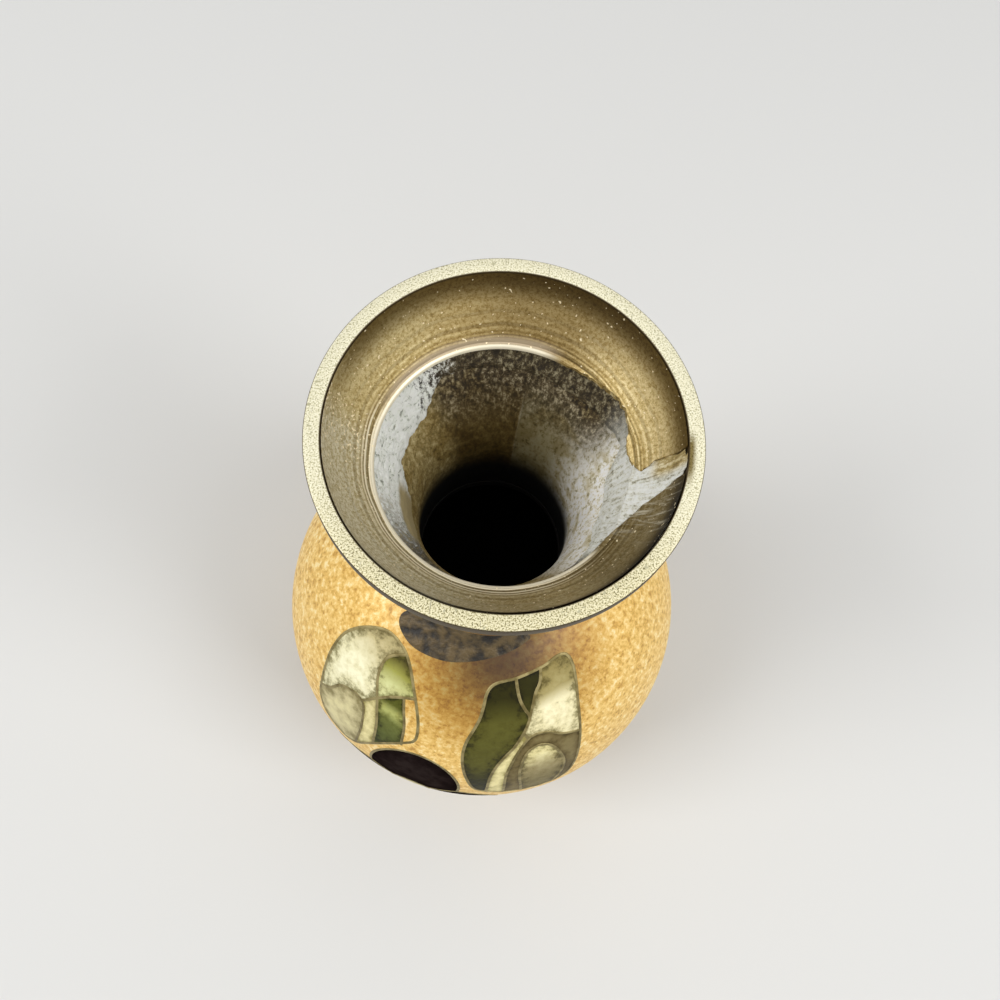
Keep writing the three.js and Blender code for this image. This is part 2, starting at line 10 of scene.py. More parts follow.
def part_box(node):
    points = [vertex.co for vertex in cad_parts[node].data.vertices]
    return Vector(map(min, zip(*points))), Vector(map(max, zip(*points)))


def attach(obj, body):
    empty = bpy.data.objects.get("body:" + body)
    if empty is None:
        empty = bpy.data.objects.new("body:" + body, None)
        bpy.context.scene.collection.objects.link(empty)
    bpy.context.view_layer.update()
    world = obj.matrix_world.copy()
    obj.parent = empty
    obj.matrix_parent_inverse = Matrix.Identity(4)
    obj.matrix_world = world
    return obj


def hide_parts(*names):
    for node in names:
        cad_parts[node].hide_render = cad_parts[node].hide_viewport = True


bl_info = {
    "name": "Cloisonne Bud Vase",
    "version": (1, 0, 0),
    "blender": (4, 5, 0),
    "location": "3D View > Sidebar > Bud Vase",
    "description": "Models and finishes the brass, solder and wired enamel of a bud vase",
    "category": "Object",
}

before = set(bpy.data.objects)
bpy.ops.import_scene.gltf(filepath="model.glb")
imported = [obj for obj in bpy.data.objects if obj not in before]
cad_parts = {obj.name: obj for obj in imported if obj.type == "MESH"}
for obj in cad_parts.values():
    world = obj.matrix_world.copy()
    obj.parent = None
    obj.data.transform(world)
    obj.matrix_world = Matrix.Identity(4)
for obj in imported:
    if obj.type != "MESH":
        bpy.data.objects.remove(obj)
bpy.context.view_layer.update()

# In metres: a millimetre, and how near two vertices are to be merged
MM = 0.001
MERGE = 1e-7


def frame_size(node):
    """The outer radius, foot and top of a turned node of the frame, in millimetres."""
    low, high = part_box(node)
    return high.x / MM, low.z / MM, high.z / MM


# Sizes in millimetres, read from the frame where a node gives them
RIM_RADIUS, RIM_FOOT, HEIGHT = frame_size("rim_ring")
FOOT_RADIUS, _, FOOT_HEIGHT = frame_size("foot_ring")
BELLY_RADIUS, BODY_FOOT, BODY_TOP = frame_size("ground_body")
_, NECK_FOOT, NECK_TOP = frame_size("ground_neck")
_, TUBE_FOOT, _ = frame_size("neck_tube")
_, SHELL_FOOT, SHELL_TOP = frame_size("body_shell")
_, WIRE_FOOT, WIRE_TOP = frame_size("foot_wire")
_, SHOULDER_FOOT, SHOULDER_TOP = frame_size("shoulder_wire")
PLATE_RADIUS, PLATE_FOOT, PLATE_TOP = frame_size("base_plate")
COUNTER_RADIUS, COUNTER_FOOT, COUNTER_TOP = frame_size("base_counter_enamel")

BELLY_HEIGHT = 28.5
NECK_RADIUS = 11.05
ROOT_FILLET = 6
ROOT_HEIGHT = 62.2
FLARE_FOOT = 72.95
FLARE_RISE = 10.8
FLARE_SPREAD = (17.15, 92.2)
FLARE_MOUTH = (19.85, 99.95)
FOOT_WIDTH = 2.4
RIM_WIDTH = 1.7
LOWER_HEIGHT = (BELLY_HEIGHT - BODY_FOOT) / math.sin(math.acos(FOOT_RADIUS / BELLY_RADIUS))
RIM_INNER = RIM_RADIUS - RIM_WIDTH
LIP_RADIUS = 13.6
LIP_HEIGHT = 93.7
FUNNEL_WALL = 0.5
FUNNEL_RADIUS = RIM_INNER - 0.07
FUNNEL_RISE = HEIGHT - 0.2
FUNNEL_SHIFT = 0.07
FUNNEL_SHIFT_FOOT = 97
ENAMEL = 0.7
METAL_DEPTH = 0.95
TUBE_WALL = 0.6
BODY_WALL = 0.7
WIRE_BED = 0.14
BORDER_PROUD = 0.1
CHIP_FOOT = 45

# Azimuths and sweeps in degrees, and steps round a turned piece
SEAM_AZIMUTH = 174
SEAM_HALF = 1.6
ROUND_STEPS = 192
MOUTH_STEPS = 256
COLLAR_STEPS = 360
PATCH_STEPS = 56
PATCH_SWEEP = 84
CHIP_STEPS = 90
CHIP_SWEEP = 130

# A part of a cut with no more vertices than this is a crumb, and is left out
CRUMB = 20


def colour(text):
    """An sRGB hex colour as linear red, green, blue and alpha."""
    levels = [int(text[i : i + 2], 16) / 255 for i in (1, 3, 5)]
    linear = [v / 12.92 if v <= 0.04045 else ((v + 0.055) / 1.055) ** 2.4 for v in levels]
    return (*linear, 1.0)


def length(name, description, millimetres):
    """A size that a user may change."""
    return bpy.props.FloatProperty(
        name=name, description=description, default=millimetres * MM, subtype="DISTANCE", unit="LENGTH"
    )


def tint(name, description, text):
    """A colour that a user may change."""
    return bpy.props.FloatVectorProperty(
        name=name, description=description, default=colour(text), size=4, subtype="COLOR", min=0, max=1
    )


class VaseSizes(bpy.types.PropertyGroup):
    """Sizes that change how the surfaces are worked, not where they are."""

    wire_width: length("Wire width", "Width of the brass wires between the enamel cells", 0.5)
    wire_proud: length("Wire stand", "How far the ground wires stand above the enamel", 0.06)
    tear_bite: length("Tear roughness", "How far the torn lip wanders from its line", 0.1)
    crust: length("Solder crust", "Height of the lumps on the throat solder", 0.22)
    fleck: length("Goldstone fleck", "Size of the copper flecks in the goldstone enamel", 0.42)
    turning: length("Turning mark", "Spacing of the spun marks in the funnel", 0.3)


class VaseColours(bpy.types.PropertyGroup):
    """Main colours of the finishes."""

    ring: tint("Mouth ring", "Pale ground brass of the mouth ring", "#e9e5cf")
    funnel: tint("Funnel", "Browned spun brass of the funnel", "#cbb784")
    tube: tint("Neck tube", "Dull rolled brass of the neck", "#948b6b")
    solder: tint("Solder", "Grey-white throat solder", "#f6f8f4")
    # Nearly black partly as painted shade for the unlit inside of the belly
    copper: tint("Copper", "Oxidised copper inside the belly", "#0e0805")
    wire: tint("Wire", "Ground brass wire", "#9b8e60")
    goldstone: tint("Goldstone", "Middle tone of the goldstone enamel", "#e4b85b")
    pale_green: tint("Pale green", "Pale grey-green enamel", "#e6deb4")
    olive_yellow: tint("Olive yellow", "Yellowish olive enamel", "#c6bb8d")
    beige: tint("Beige", "Beige enamel", "#d2c68c")
    light_green: tint("Light green", "Light green enamel", "#b4b572")
    dark_green: tint("Dark green", "Dark olive green enamel", "#3d3c14")
    brown: tint("Brown", "Brown enamel of the lobe's rim", "#6a5c36")
    aubergine: tint("Aubergine", "Near-black aubergine enamel", "#201817")
    counter: tint("Counter enamel", "Turquoise enamel under the base", "#3f8f93")


# Lines of the wall


def arc(centre, radii, start, end, count):
    """Points of an elliptic arc, without its last, for angles in radians."""
    angles = [start + (end - start) * i / count for i in range(count)]
    return [(centre[0] + radii[0] * math.cos(a), centre[1] + radii[1] * math.sin(a)) for a in angles]


def bezier(a, b, c, d, count):
    """Points of a cubic curve, both ends included."""
    points = []
    for i in range(count + 1):
        t = i / count
        weights = ((1 - t) ** 3, 3 * t * (1 - t) ** 2, 3 * t * t * (1 - t), t**3)
        points.append(tuple(sum(w * p[k] for w, p in zip(weights, (a, b, c, d))) for k in range(2)))
    return points


def skin_line():
    """The enamel's outer line from the foot to the mouth ring, as radius and height."""
    foot_angle = math.acos(FOOT_RADIUS / BELLY_RADIUS)
    fillet = NECK_RADIUS + ROOT_FILLET
    root_angle = math.acos(fillet / (BELLY_RADIUS + ROOT_FILLET))
    belly = (0, BELLY_HEIGHT)
    line = arc(belly, (BELLY_RADIUS, LOWER_HEIGHT), -foot_angle, 0, 36)
    line += arc(belly, (BELLY_RADIUS, BELLY_RADIUS), 0, root_angle, 42)
    line += arc((fillet, ROOT_HEIGHT), (ROOT_FILLET,) * 2, math.pi + root_angle, math.pi, 10)
    line.append((NECK_RADIUS, ROOT_HEIGHT))
    knee = (NECK_RADIUS, FLARE_FOOT)
    rise = (NECK_RADIUS, FLARE_FOOT + FLARE_RISE)
    return line + bezier(knee, rise, FLARE_SPREAD, FLARE_MOUTH, 30)


def aside(line, depth):
    """The line moved sideways, into the wall where the depth is positive."""
    moved = []
    for i, (x, y) in enumerate(line):
        before = line[max(i - 1, 0)]
        after = line[min(i + 1, len(line) - 1)]
        heading = Vector((after[0] - before[0], after[1] - before[1])).normalized()
        moved.append((x - heading.y * depth, y + heading.x * depth))
    return moved


def radius_at(line, height):
    """The line's radius at a height."""
    for low, high in zip(line, line[1:]):
        if high[1] >= height:
            break
    share = (height - low[1]) / (high[1] - low[1])
    return low[0] + (high[0] - low[0]) * share


def between(line, low, high):
    """The stretch of the line between two heights."""
    inside = [p for p in line if low + 0.02 < p[1] < high - 0.02]
    return [(radius_at(line, low), low), *inside, (radius_at(line, high), high)]


SKIN = skin_line()


def sleeve(low, high, outer, inner):
    """The closed section of a sleeve of the wall, between two heights and two depths."""
    return between(aside(SKIN, outer), low, high) + between(aside(SKIN, inner), low, high)[::-1]


# Modelling


def deselect():
    """Leaves nothing selected, because an operator acts on all that is."""
    bpy.ops.object.select_all(action="DESELECT")


def choose(piece):
    """Makes the piece the only one selected and active."""
    deselect()
    piece.select_set(True)
    bpy.context.view_layer.objects.active = piece


def ring_of(points, fill="NOTHING"):
    """A closed chain of vertices at the given places, in metres."""
    deselect()
    bpy.ops.mesh.primitive_circle_add(vertices=len(points), fill_type=fill)
    piece = bpy.context.object
    for vertex, place in zip(piece.data.vertices, points):
        vertex.co = place
    return piece


def tidy_faces():
    """In edit mode: merges doubles and points the faces outwards."""
    bpy.ops.mesh.select_all(action="SELECT")
    bpy.ops.mesh.remove_doubles(threshold=MERGE)
    bpy.ops.mesh.normals_make_consistent(inside=False)


def standing(points, operator, **move):
    """A block: a face of the given places, in metres, pushed out by a transform operator."""
    block = ring_of(points, "NGON")
    bpy.ops.object.mode_set(mode="EDIT")
    bpy.ops.mesh.select_all(action="SELECT")
    bpy.ops.mesh.extrude_region()
    operator(**move)
    tidy_faces()
    bpy.ops.object.mode_set(mode="OBJECT")
    return block


def turned(section, steps=ROUND_STEPS, start=0.0, sweep=360.0):
    """A section of (radius, height) in millimetres, spun about the axis from an azimuth."""
    whole = sweep == 360.0
    points = [spot(start, radius, height) for radius, height in section]
    piece = ring_of(points, "NOTHING" if whole else "NGON")
    bpy.ops.object.mode_set(mode="EDIT")
    bpy.ops.mesh.select_all(action="SELECT")
    bpy.ops.mesh.spin(
        steps=steps, angle=-math.radians(sweep), center=(0, 0, 0), axis=(0, 0, 1), use_auto_merge=whole
    )
    tidy_faces()
    bpy.ops.object.mode_set(mode="OBJECT")
    return piece


def apply(piece, kind, **settings):
    """Adds a modifier with its settings and applies it."""
    choose(piece)
    modifier = piece.modifiers.new(kind.title(), kind)
    for name, value in settings.items():
        setattr(modifier, name, value)
    bpy.ops.object.modifier_apply(modifier=modifier.name)


def bevel(piece, width, segments=3):
    """Rounds the piece's sharp edges by a width in millimetres."""
    sharp = math.radians(40)
    apply(piece, "BEVEL", width=width * MM, segments=segments, limit_method="ANGLE", angle_limit=sharp)


def cut(piece, cutter, operation="DIFFERENCE"):
    """Cuts the piece with another, which is then thrown away."""
    apply(piece, "BOOLEAN", operation=operation, object=cutter, solver="EXACT", use_self=True)
    bpy.data.objects.remove(cutter)


def lumps(piece, size, height):
    """Pushes the surface out and in by soft noise of a size and height in millimetres."""
    texture = bpy.data.textures.new(piece.name + "_lumps", "CLOUDS")
    texture.noise_scale = size * MM
    texture.noise_depth = 3
    apply(piece, "DISPLACE", texture=texture, strength=height * MM, mid_level=0.5)


def finish(piece, name, material, slot, *nodes, angle=35):
    """Names, smooths and finishes a piece, ties it to the body, and hides the nodes it stands for. The slot
    is not used.
    """
    choose(piece)
    bpy.ops.object.transform_apply(location=True, rotation=True, scale=True)
    bpy.ops.object.shade_smooth_by_angle(angle=math.radians(angle))
    piece.name = name
    piece.data.name = name
    piece.data.materials.clear()
    piece.data.materials.append(material)
    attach(piece, "root")
    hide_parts(*nodes)


def spot(azimuth, radius, height):
    """A place by azimuth from the front, radius and height, in millimetres, given in metres."""
    angle = math.radians(azimuth)
    return Vector((radius * math.sin(angle), -radius * math.cos(angle), height)) * MM


# Centre of the mouth ring's shadow, painted on the enamel at the neck's root
RING_SHADOW_PLACE = spot(16, 15, 57)


# Materials


def plain(value):
    """A value as a socket takes it: a hex colour is made linear."""
    return colour(value) if isinstance(value, str) else value


def add_node(tree, kind, inputs=None, stops=None, **settings):
    """Adds a node with its settings, its ramp's stops, and its inputs as links or values, and gives its
    outputs."""
    node = tree.nodes.new("ShaderNode" + kind)
    for name, value in settings.items():
        setattr(node, name, value)
    for i, (place, value) in enumerate(stops or []):
        elements = node.color_ramp.elements
        element = elements[i] if i < 2 else elements.new(place)
        element.position = place
        element.color = plain(value)
    for name, value in (inputs or {}).items():
        if isinstance(value, bpy.types.NodeSocket):
            tree.links.new(value, node.inputs[name])
        else:
            node.inputs[name].default_value = plain(value)
    return node.outputs


def new_material(name, **shader):
    """A material whose Principled shader has the given plain values, with a function that adds a node to
    it, and its surface's coordinates."""
    material = bpy.data.materials.new(name)
    material.use_nodes = True
    node = material.node_tree.nodes["Principled BSDF"]
    for key, value in shader.items():
        node.inputs[key.replace("_", " ")].default_value = plain(value)
    add = partial(add_node, material.node_tree)
    return material, add, add("TexCoord")["Object"]


def surface(material, shade, relief):
    """Gives the material's shader its colour and its relief."""
    shader = material.node_tree.nodes["Principled BSDF"]
    material.node_tree.links.new(shade, shader.inputs["Base Color"])
    material.node_tree.links.new(relief, shader.inputs["Normal"])
    return material


def per(size):
    """How many repeats a pattern of a real size in millimetres makes in a metre."""
    return 1 / (size * MM)


def polar(add, place):
    """The surface's radius, azimuth from the front, height and azimuth from behind, in millimetres and
    degrees. Each azimuth grows towards the right, and jumps on the side that it is measured away from."""
    parts = add("SeparateXYZ", {"Vector": place})
    x, y, z = (parts[key] for key in "XYZ")
    flat = add("CombineXYZ", {"X": x, "Y": y})[0]
    length = add("VectorMath", {0: flat}, operation="LENGTH")["Value"]
    front = add("Math", {0: y, 1: -1.0}, operation="MULTIPLY")[0]
    turns = [add("Math", {0: x, 1: ahead}, operation="ARCTAN2")[0] for ahead in (front, y)]
    azimuth, behind = (add("Math", {0: turn}, operation="DEGREES")[0] for turn in turns)
    radius, height = (add("Math", {0: size, 1: 1 / MM}, operation="MULTIPLY")[0] for size in (length, z))
    return radius, azimuth, height, behind


def window(add, *ranges):
    """A soft mask: each range's value comes in over its rise and goes out over its fall, each a start
    and an end, or None where it has no such side."""
    masks = []
    for value, rise, fall in ranges:
        for side, (low, high) in ((rise, (0.0, 1.0)), (fall, (1.0, 0.0))):
            if side:
                ends = {"From Min": side[0], "From Max": side[1], "To Min": low, "To Max": high}
                masks.append(add("MapRange", {"Value": value, **ends}, interpolation_type="SMOOTHSTEP")[0])
    product = masks[0]
    for mask in masks[1:]:
        product = add("Math", {0: product, 1: mask}, operation="MULTIPLY")[0]
    return product


def ring_brass(name, tone, edge_in, edge_out):
    """Cast brass, ground flat and handled: pale grain with casting pits and hair scratches, denser dark
    specks with painted shade on the front, painted shade on the face beside the crack, and painted shade on
    the inner and outer walls. The grain is drawn at 0.17 mm, coarser than real, so that it shows."""
    material, add, place = new_material(name, Metallic=0.7, Roughness=0.5)
    radius, azimuth, _, _ = polar(add, place)
    grain = add("TexNoise", {"Vector": place, "Scale": per(0.17), "Detail": 2.0, "Roughness": 0.7})["Fac"]
    speckle = add(
        "ValToRGB",
        {"Fac": grain},
        stops=[(0.3, "#8f8c72"), (0.39, "#c2bfa8"), (0.47, "#f0eee0"), (0.6, "#ffffff")],
    )["Color"]
    front_specks_and_shade = add(
        "ValToRGB", {"Fac": grain}, stops=[(0.36, "#948f76"), (0.45, "#e0dbc7"), (0.52, "#f7f4e8")]
    )["Color"]
    pits = add("TexNoise", {"Vector": place, "Scale": per(0.55), "Detail": 1.0})["Fac"]
    stretch = add("Mapping", {"Vector": place, "Rotation": (0.0, 0.0, 0.9), "Scale": (16.0, 1.0, 1.0)})[0]
    hairs = add("TexNoise", {"Vector": stretch, "Scale": per(5.0), "Detail": 1.0})["Fac"]
    shade = tone
    for factor, over, blend in (
        (1.0, speckle, "MULTIPLY"),
        # Denser dark specks on the front half of the ring, with painted shade
        (window(add, (azimuth, (-75, -30), (45, 80))), front_specks_and_shade, "MULTIPLY"),
        # Painted shade on the face along the inner wall, beside the crack
        (
            window(add, (azimuth, (79, 88), (95, 101)), (radius, None, (edge_in + 0.3, edge_in + 0.9))),
            "#8b7d54",
            "MULTIPLY",
        ),
        (add("MapRange", {"Value": pits, "From Min": 0.3, "From Max": 0.26})[0], "#b3ae8f", "MIX"),
        (add("MapRange", {"Value": hairs, "From Min": 0.25, "From Max": 0.235})[0], "#a49e84", "MIX"),
        # Painted shade on the outer wall
        (window(add, (radius, (edge_out - 0.12, edge_out - 0.04), None)), "#463921", "MIX"),
        # Painted shade on the inner wall
        (window(add, (radius, None, (edge_in + 0.04, edge_in + 0.16))), "#4b3d25", "MIX"),
    ):
        mix = {0: factor, 6: shade, 7: over}
        shade = add("Mix", mix, data_type="RGBA", blend_type=blend)[2]
    return surface(material, shade, add("Bump", {"Height": grain, "Distance": 0.03 * MM, "Strength": 0.5})[0])


def spun_brass(tone, spacing):
    """Brass sheet spun on a lathe and turned brown: rings that crowd towards the lip, grain, and solder drawn
    over it in streaks beside the crack; with painted light and shade round the funnel, painted shade near the
    ring at the back, painted highlights on the lip and the rings by it, painted glints, and dirt with painted
    shade beside the ring at the front."""
    material, add, place = new_material("browned_spun_brass", Metallic=0.45, Roughness=0.5)
    radius, azimuth, _, behind = polar(add, place)
    rings = spinning_marks(add, place, radius, spacing)
    ring_shade = add(
        "ValToRGB", {"Fac": rings}, stops=[(0.36, "#8f8361"), (0.5, "#d6caa4"), (0.62, "#ffffff")]
    )["Color"]
    crowd = add(
        "MapRange", {"Value": radius, "From Min": 14.8, "From Max": 16.8, "To Min": 0.85, "To Max": 0.12}
    )[0]
    grain = add("TexNoise", {"Vector": place, "Scale": per(0.38), "Detail": 5.0, "Roughness": 0.8})["Fac"]
    blotch = add(
        "ValToRGB", {"Fac": grain}, stops=[(0.32, "#9c8d68"), (0.44, "#d3c7a2"), (0.56, "#ffffff")]
    )["Color"]
    # Noise for the painted glints
    glint_noise = add("TexNoise", {"Vector": place, "Scale": per(0.32), "Detail": 0.0})["Fac"]
    # Painted highlight in a band above the lip at the back
    highlight_above_lip = window(add, (behind, (-80, -60), (8, 24)), (radius, (13.9, 14.1), (14.1, 14.9)))
    # Painted highlights on the spun rings near the lip
    ring_highlights = window(
        add,
        (azimuth, (-115, -95), (10, 60)),
        (radius, (13.9, 14.0), (14.4, 15.4)),
        (rings, (0.42, 0.56), None),
    )
    shaded_top = window(add, (behind, (-95, -60), (120, 150)), (radius, (16.8, 18.2), None))
    # Painted light: paler on the right-back of the funnel, towards the lip
    painted_light_right = window(add, (azimuth, (82, 100), (130, 165)), (radius, None, (15.5, 18.2)))
    # Darker beside the ring at the front: dirt, with painted shade under the ring's edge
    dirt_and_shade_by_ring = window(add, (azimuth, (-60, 20), (74, 90)), (radius, (17.5, 18.15), None))
    smear = window(
        add, (azimuth, (58, 74), (84, 90)), (drawn_streaks(add, radius, azimuth, 0.5), (0.5, 0.66), None)
    )
    # Painted glints, gathered in one cluster on the left
    glint_cluster = window(add, (azimuth, (-102, -97), (-84, -78)), (glint_noise, (0.68, 0.71), None))
    # Painted light and shade round the funnel
    shade = painted_light_stretches(add, tone, azimuth, behind)
    for factor, over, blend in (
        (painted_light_right, "#f3e2b2", "MIX"),
        (crowd, ring_shade, "MULTIPLY"),
        (0.9, blotch, "MULTIPLY"),
        (shaded_top, "#857a59", "MULTIPLY"),
        (ring_highlights, "#ece2c6", "MIX"),
        (highlight_above_lip, "#b8a78c", "MIX"),
        (smear, "#cbc5b0", "MIX"),
        (dirt_and_shade_by_ring, "#3f3520", "MULTIPLY"),
        # Painted highlight along the lip's bead
        (lip_bead_highlight(add, radius, azimuth), "#f4ecd4", "MIX"),
        # Painted glints, scattered all round
        (window(add, (glint_noise, (0.79, 0.81), None)), "#f6e8c4", "MIX"),
        (glint_cluster, "#f6e8c4", "MIX"),
    ):
        mix = {0: factor, 6: shade, 7: over}
        shade = add("Mix", mix, data_type="RGBA", blend_type=blend)[2]
    return surface(material, shade, add("Bump", {"Height": rings, "Distance": 0.03 * MM, "Strength": 0.5})[0])


def spinning_marks(add, place, radius, spacing):
    """The rings of the spinning tool: noise along the radius alone, which wanders a little on its way
    round."""
    drift = add("TexNoise", {"Vector": place, "Scale": per(7.0), "Detail": 2.0})["Fac"]
    wander = add("Math", {0: drift, 1: 0.5, 2: radius}, operation="MULTIPLY_ADD")[0]
    marks = {"W": wander, "Scale": MM / spacing, "Detail": 3.0, "Roughness": 0.7}
    return add("TexNoise", marks, noise_dimensions="1D")["Fac"]


def painted_light_stretches(add, tone, azimuth, behind):
    """Painted light and shade round the funnel: paler or darker by stretches, as light falls on its wall."""
    shade = tone
    for turn, rise, fall, over in (
        (azimuth, (-120, -85), (-15, 30), "#dfd8be"),
        (azimuth, (-20, 20), (60, 90), "#bdae86"),
        (behind, (-30, 0), (35, 60), "#ab9768"),
        (behind, (-95, -80), (-50, -25), "#d8c898"),
        (azimuth, (25, 50), (84, 92), "#958866"),
    ):
        mix = {0: window(add, (turn, rise, fall)), 6: shade, 7: over}
        shade = add("Mix", mix, data_type="RGBA")[2]
    return shade


def lip_bead_highlight(add, radius, azimuth):
    """A mask of the painted highlight along the lip's bead, where it isn't torn away."""
    bare = window(add, (radius, None, (13.85, 14.05)))
    torn = window(add, (azimuth, (48, 56), (158, 171)))
    return add("MapRange", {"Value": torn, "To Min": bare, "To Max": 0.0})[0]


def drawn_streaks(add, drawn, azimuth, width):
    """Noise drawn out up and down the wall: narrow streaks of a width in millimetres round it."""
    girth, slow = (
        add("Math", {0: value, 1: share}, operation="MULTIPLY")[0]
        for value, share in ((azimuth, 0.24), (drawn, 0.16))
    )
    plan = add("CombineXYZ", {"X": girth, "Y": slow})[0]
    texture = {"Vector": plan, "Scale": 1 / width, "Detail": 5.0, "Roughness": 0.75, "Distortion": 0.4}
    return add("TexNoise", texture)["Fac"]


# Dark grit: partly grit baked on by the flux, partly painted shade under the lip at the back
SHADED_GRIT_STOPS = [(0.42, "#241b0c"), (0.52, "#5a4c33"), (0.62, "#b8ad90")]


def gritty(add, place):
    """Fine grit baked on to brass by the flux: dark crumbs between pale ones, about 0.4 mm across."""
    upright = add("Mapping", {"Vector": place, "Scale": (1.0, 1.0, 0.5)})[0]
    return add("TexNoise", {"Vector": upright, "Scale": per(0.55), "Detail": 6.0, "Roughness": 0.8})["Fac"]


def rolled_brass(name, tone):
    """Rolled sheet and its braze, turned brown by the flame: brown and sooty left of the seam, greyed by flux
    right of it, dark grit under the solder at the back, partly painted shade under the lip, and painted
    near-black shade deep down the neck."""
    material, add, place = new_material(name, Metallic=0.1, Roughness=0.65)
    _, azimuth, height, behind = polar(add, place)
    grit = gritty(add, place)
    broad = add("TexNoise", {"Vector": place, "Scale": per(3.0), "Detail": 2.0})["Fac"]
    shade, fluxed, shaded_grit = (
        add("ValToRGB", {"Fac": grit}, stops=stops)["Color"]
        for stops in (
            [(0.34, "#5b4c25"), (0.5, "#9d8954"), (0.68, "#d6c799")],
            [(0.37, "#958b66"), (0.45, "#e9e2c8"), (0.52, "#ffffff")],
            SHADED_GRIT_STOPS,
        )
    )
    for factor, over, blend in (
        (window(add, (azimuth, (25, 60), (172.5, 174))), fluxed, "MIX"),
        (window(add, (behind, (-48, -32), (5, 7))), "#a29878", "MULTIPLY"),
        (window(add, (azimuth, (104, 150), (172.5, 175))), tone, "MULTIPLY"),
        # Dark grit at the back under the solder, partly painted shade under the lip
        (window(add, (behind, (-56, -36), (46, 72)), (height, (79, 89), None)), shaded_grit, "MIX"),
        (window(add, (broad, None, (0.36, 0.52))), "#ddd5bb", "MULTIPLY"),
        # Painted shade: near black deep down the neck, where little light reaches
        (window(add, (height, None, (68.0, 75.0))), "#020201", "MIX"),
    ):
        mix = {0: factor, 6: shade, 7: over}
        shade = add("Mix", mix, data_type="RGBA", blend_type=blend)[2]
    return surface(material, shade, add("Bump", {"Height": grit, "Distance": 0.1 * MM})[0])


def solder_crust(tone):
    """Soft solder: a bright crust with curling flux lines on the left, drawn in streaks up the crack on the
    right where brass shines through at its upper edge, and dark grit at the back, partly painted shade under
    the lip."""
    material, add, place = new_material("crusted_solder", Metallic=0.1, Roughness=0.6)
    radius, azimuth, height, _ = polar(add, place)
    crusty = {"Vector": place, "Scale": per(1.0), "Detail": 7.0, "Roughness": 0.75, "Distortion": 0.9}
    crust = add("TexNoise", crusty)["Fac"]
    grit = gritty(add, place)
    on_tongue = window(add, (radius, (13.3, 14.2), None))
    upright = drawn_streaks(add, height, azimuth, 0.45)
    outward = drawn_streaks(add, radius, azimuth, 0.45)
    streaks = add("Mix", {0: on_tongue, 2: upright, 3: outward})[0]
    mixed = add("Mix", {0: 0.5, 2: streaks, 3: grit})[0]
    bright, silver, scraped, shaded_grit = (
        add("ValToRGB", {"Fac": pattern}, stops=stops)["Color"]
        for pattern, stops in (
            (crust, [(0.34, "#4b4c42"), (0.39, "#b9bcb3"), (0.43, "#f4f6f1"), (0.52, "#ffffff")]),
            (mixed, [(0.37, "#5d5643"), (0.425, "#b5b09d"), (0.47, "#eceae0"), (0.53, "#ffffff")]),
            (mixed, [(0.4, "#7d6a3c"), (0.48, "#b9a368"), (0.56, "#efe3bd")]),
            (grit, SHADED_GRIT_STOPS),
        )
    )
    ragged = add("Math", {0: grit, 1: 130.0, 2: azimuth}, operation="MULTIPLY_ADD")[0]
    # Dark grit at the back, partly painted shade under the lip
    shade = shaded_grit
    for factor, over, blend in (
        (window(add, (ragged, (-80, -64), (-15, 30))), bright, "MIX"),
        (window(add, (azimuth, (45, 60), (100, 132))), silver, "MIX"),
        (window(add, (azimuth, (-89, -80), (-52, -46)), (height, None, (85.0, 86.0))), "#b5a47c", "MIX"),
        (1.0, tone, "MULTIPLY"),
        (window(add, (azimuth, (87, 91), (120, 121)), (radius, (15.0, 16.5), None)), scraped, "MIX"),
    ):
        mix = {0: factor, 6: shade, 7: over}
        shade = add("Mix", mix, data_type="RGBA", blend_type=blend)[2]
    on_left = window(add, (azimuth, (-152, -120), (-75, -30)))
    relief = add("Mix", {0: on_left, 2: grit, 3: crust})[0]
    return surface(material, shade, add("Bump", {"Height": relief, "Distance": 0.3 * MM})[0])


def plain_metal(name, tone, dark, roughness, size, metallic=0.8, dent=0.05):
    """Sheet, wire or solder with an uneven tone, in blotches of one size with dents of a depth."""
    material, add, place = new_material(name, Metallic=metallic, Roughness=roughness)
    blotch = add("TexNoise", {"Vector": place, "Scale": per(size), "Detail": 5.0})["Fac"]
    level = window(add, (blotch, (0.35, 0.65), None))
    shade = add("Mix", {0: level, 6: dark, 7: tone}, data_type="RGBA")[2]
    return surface(material, shade, add("Bump", {"Height": blotch, "Distance": dent * MM})[0])


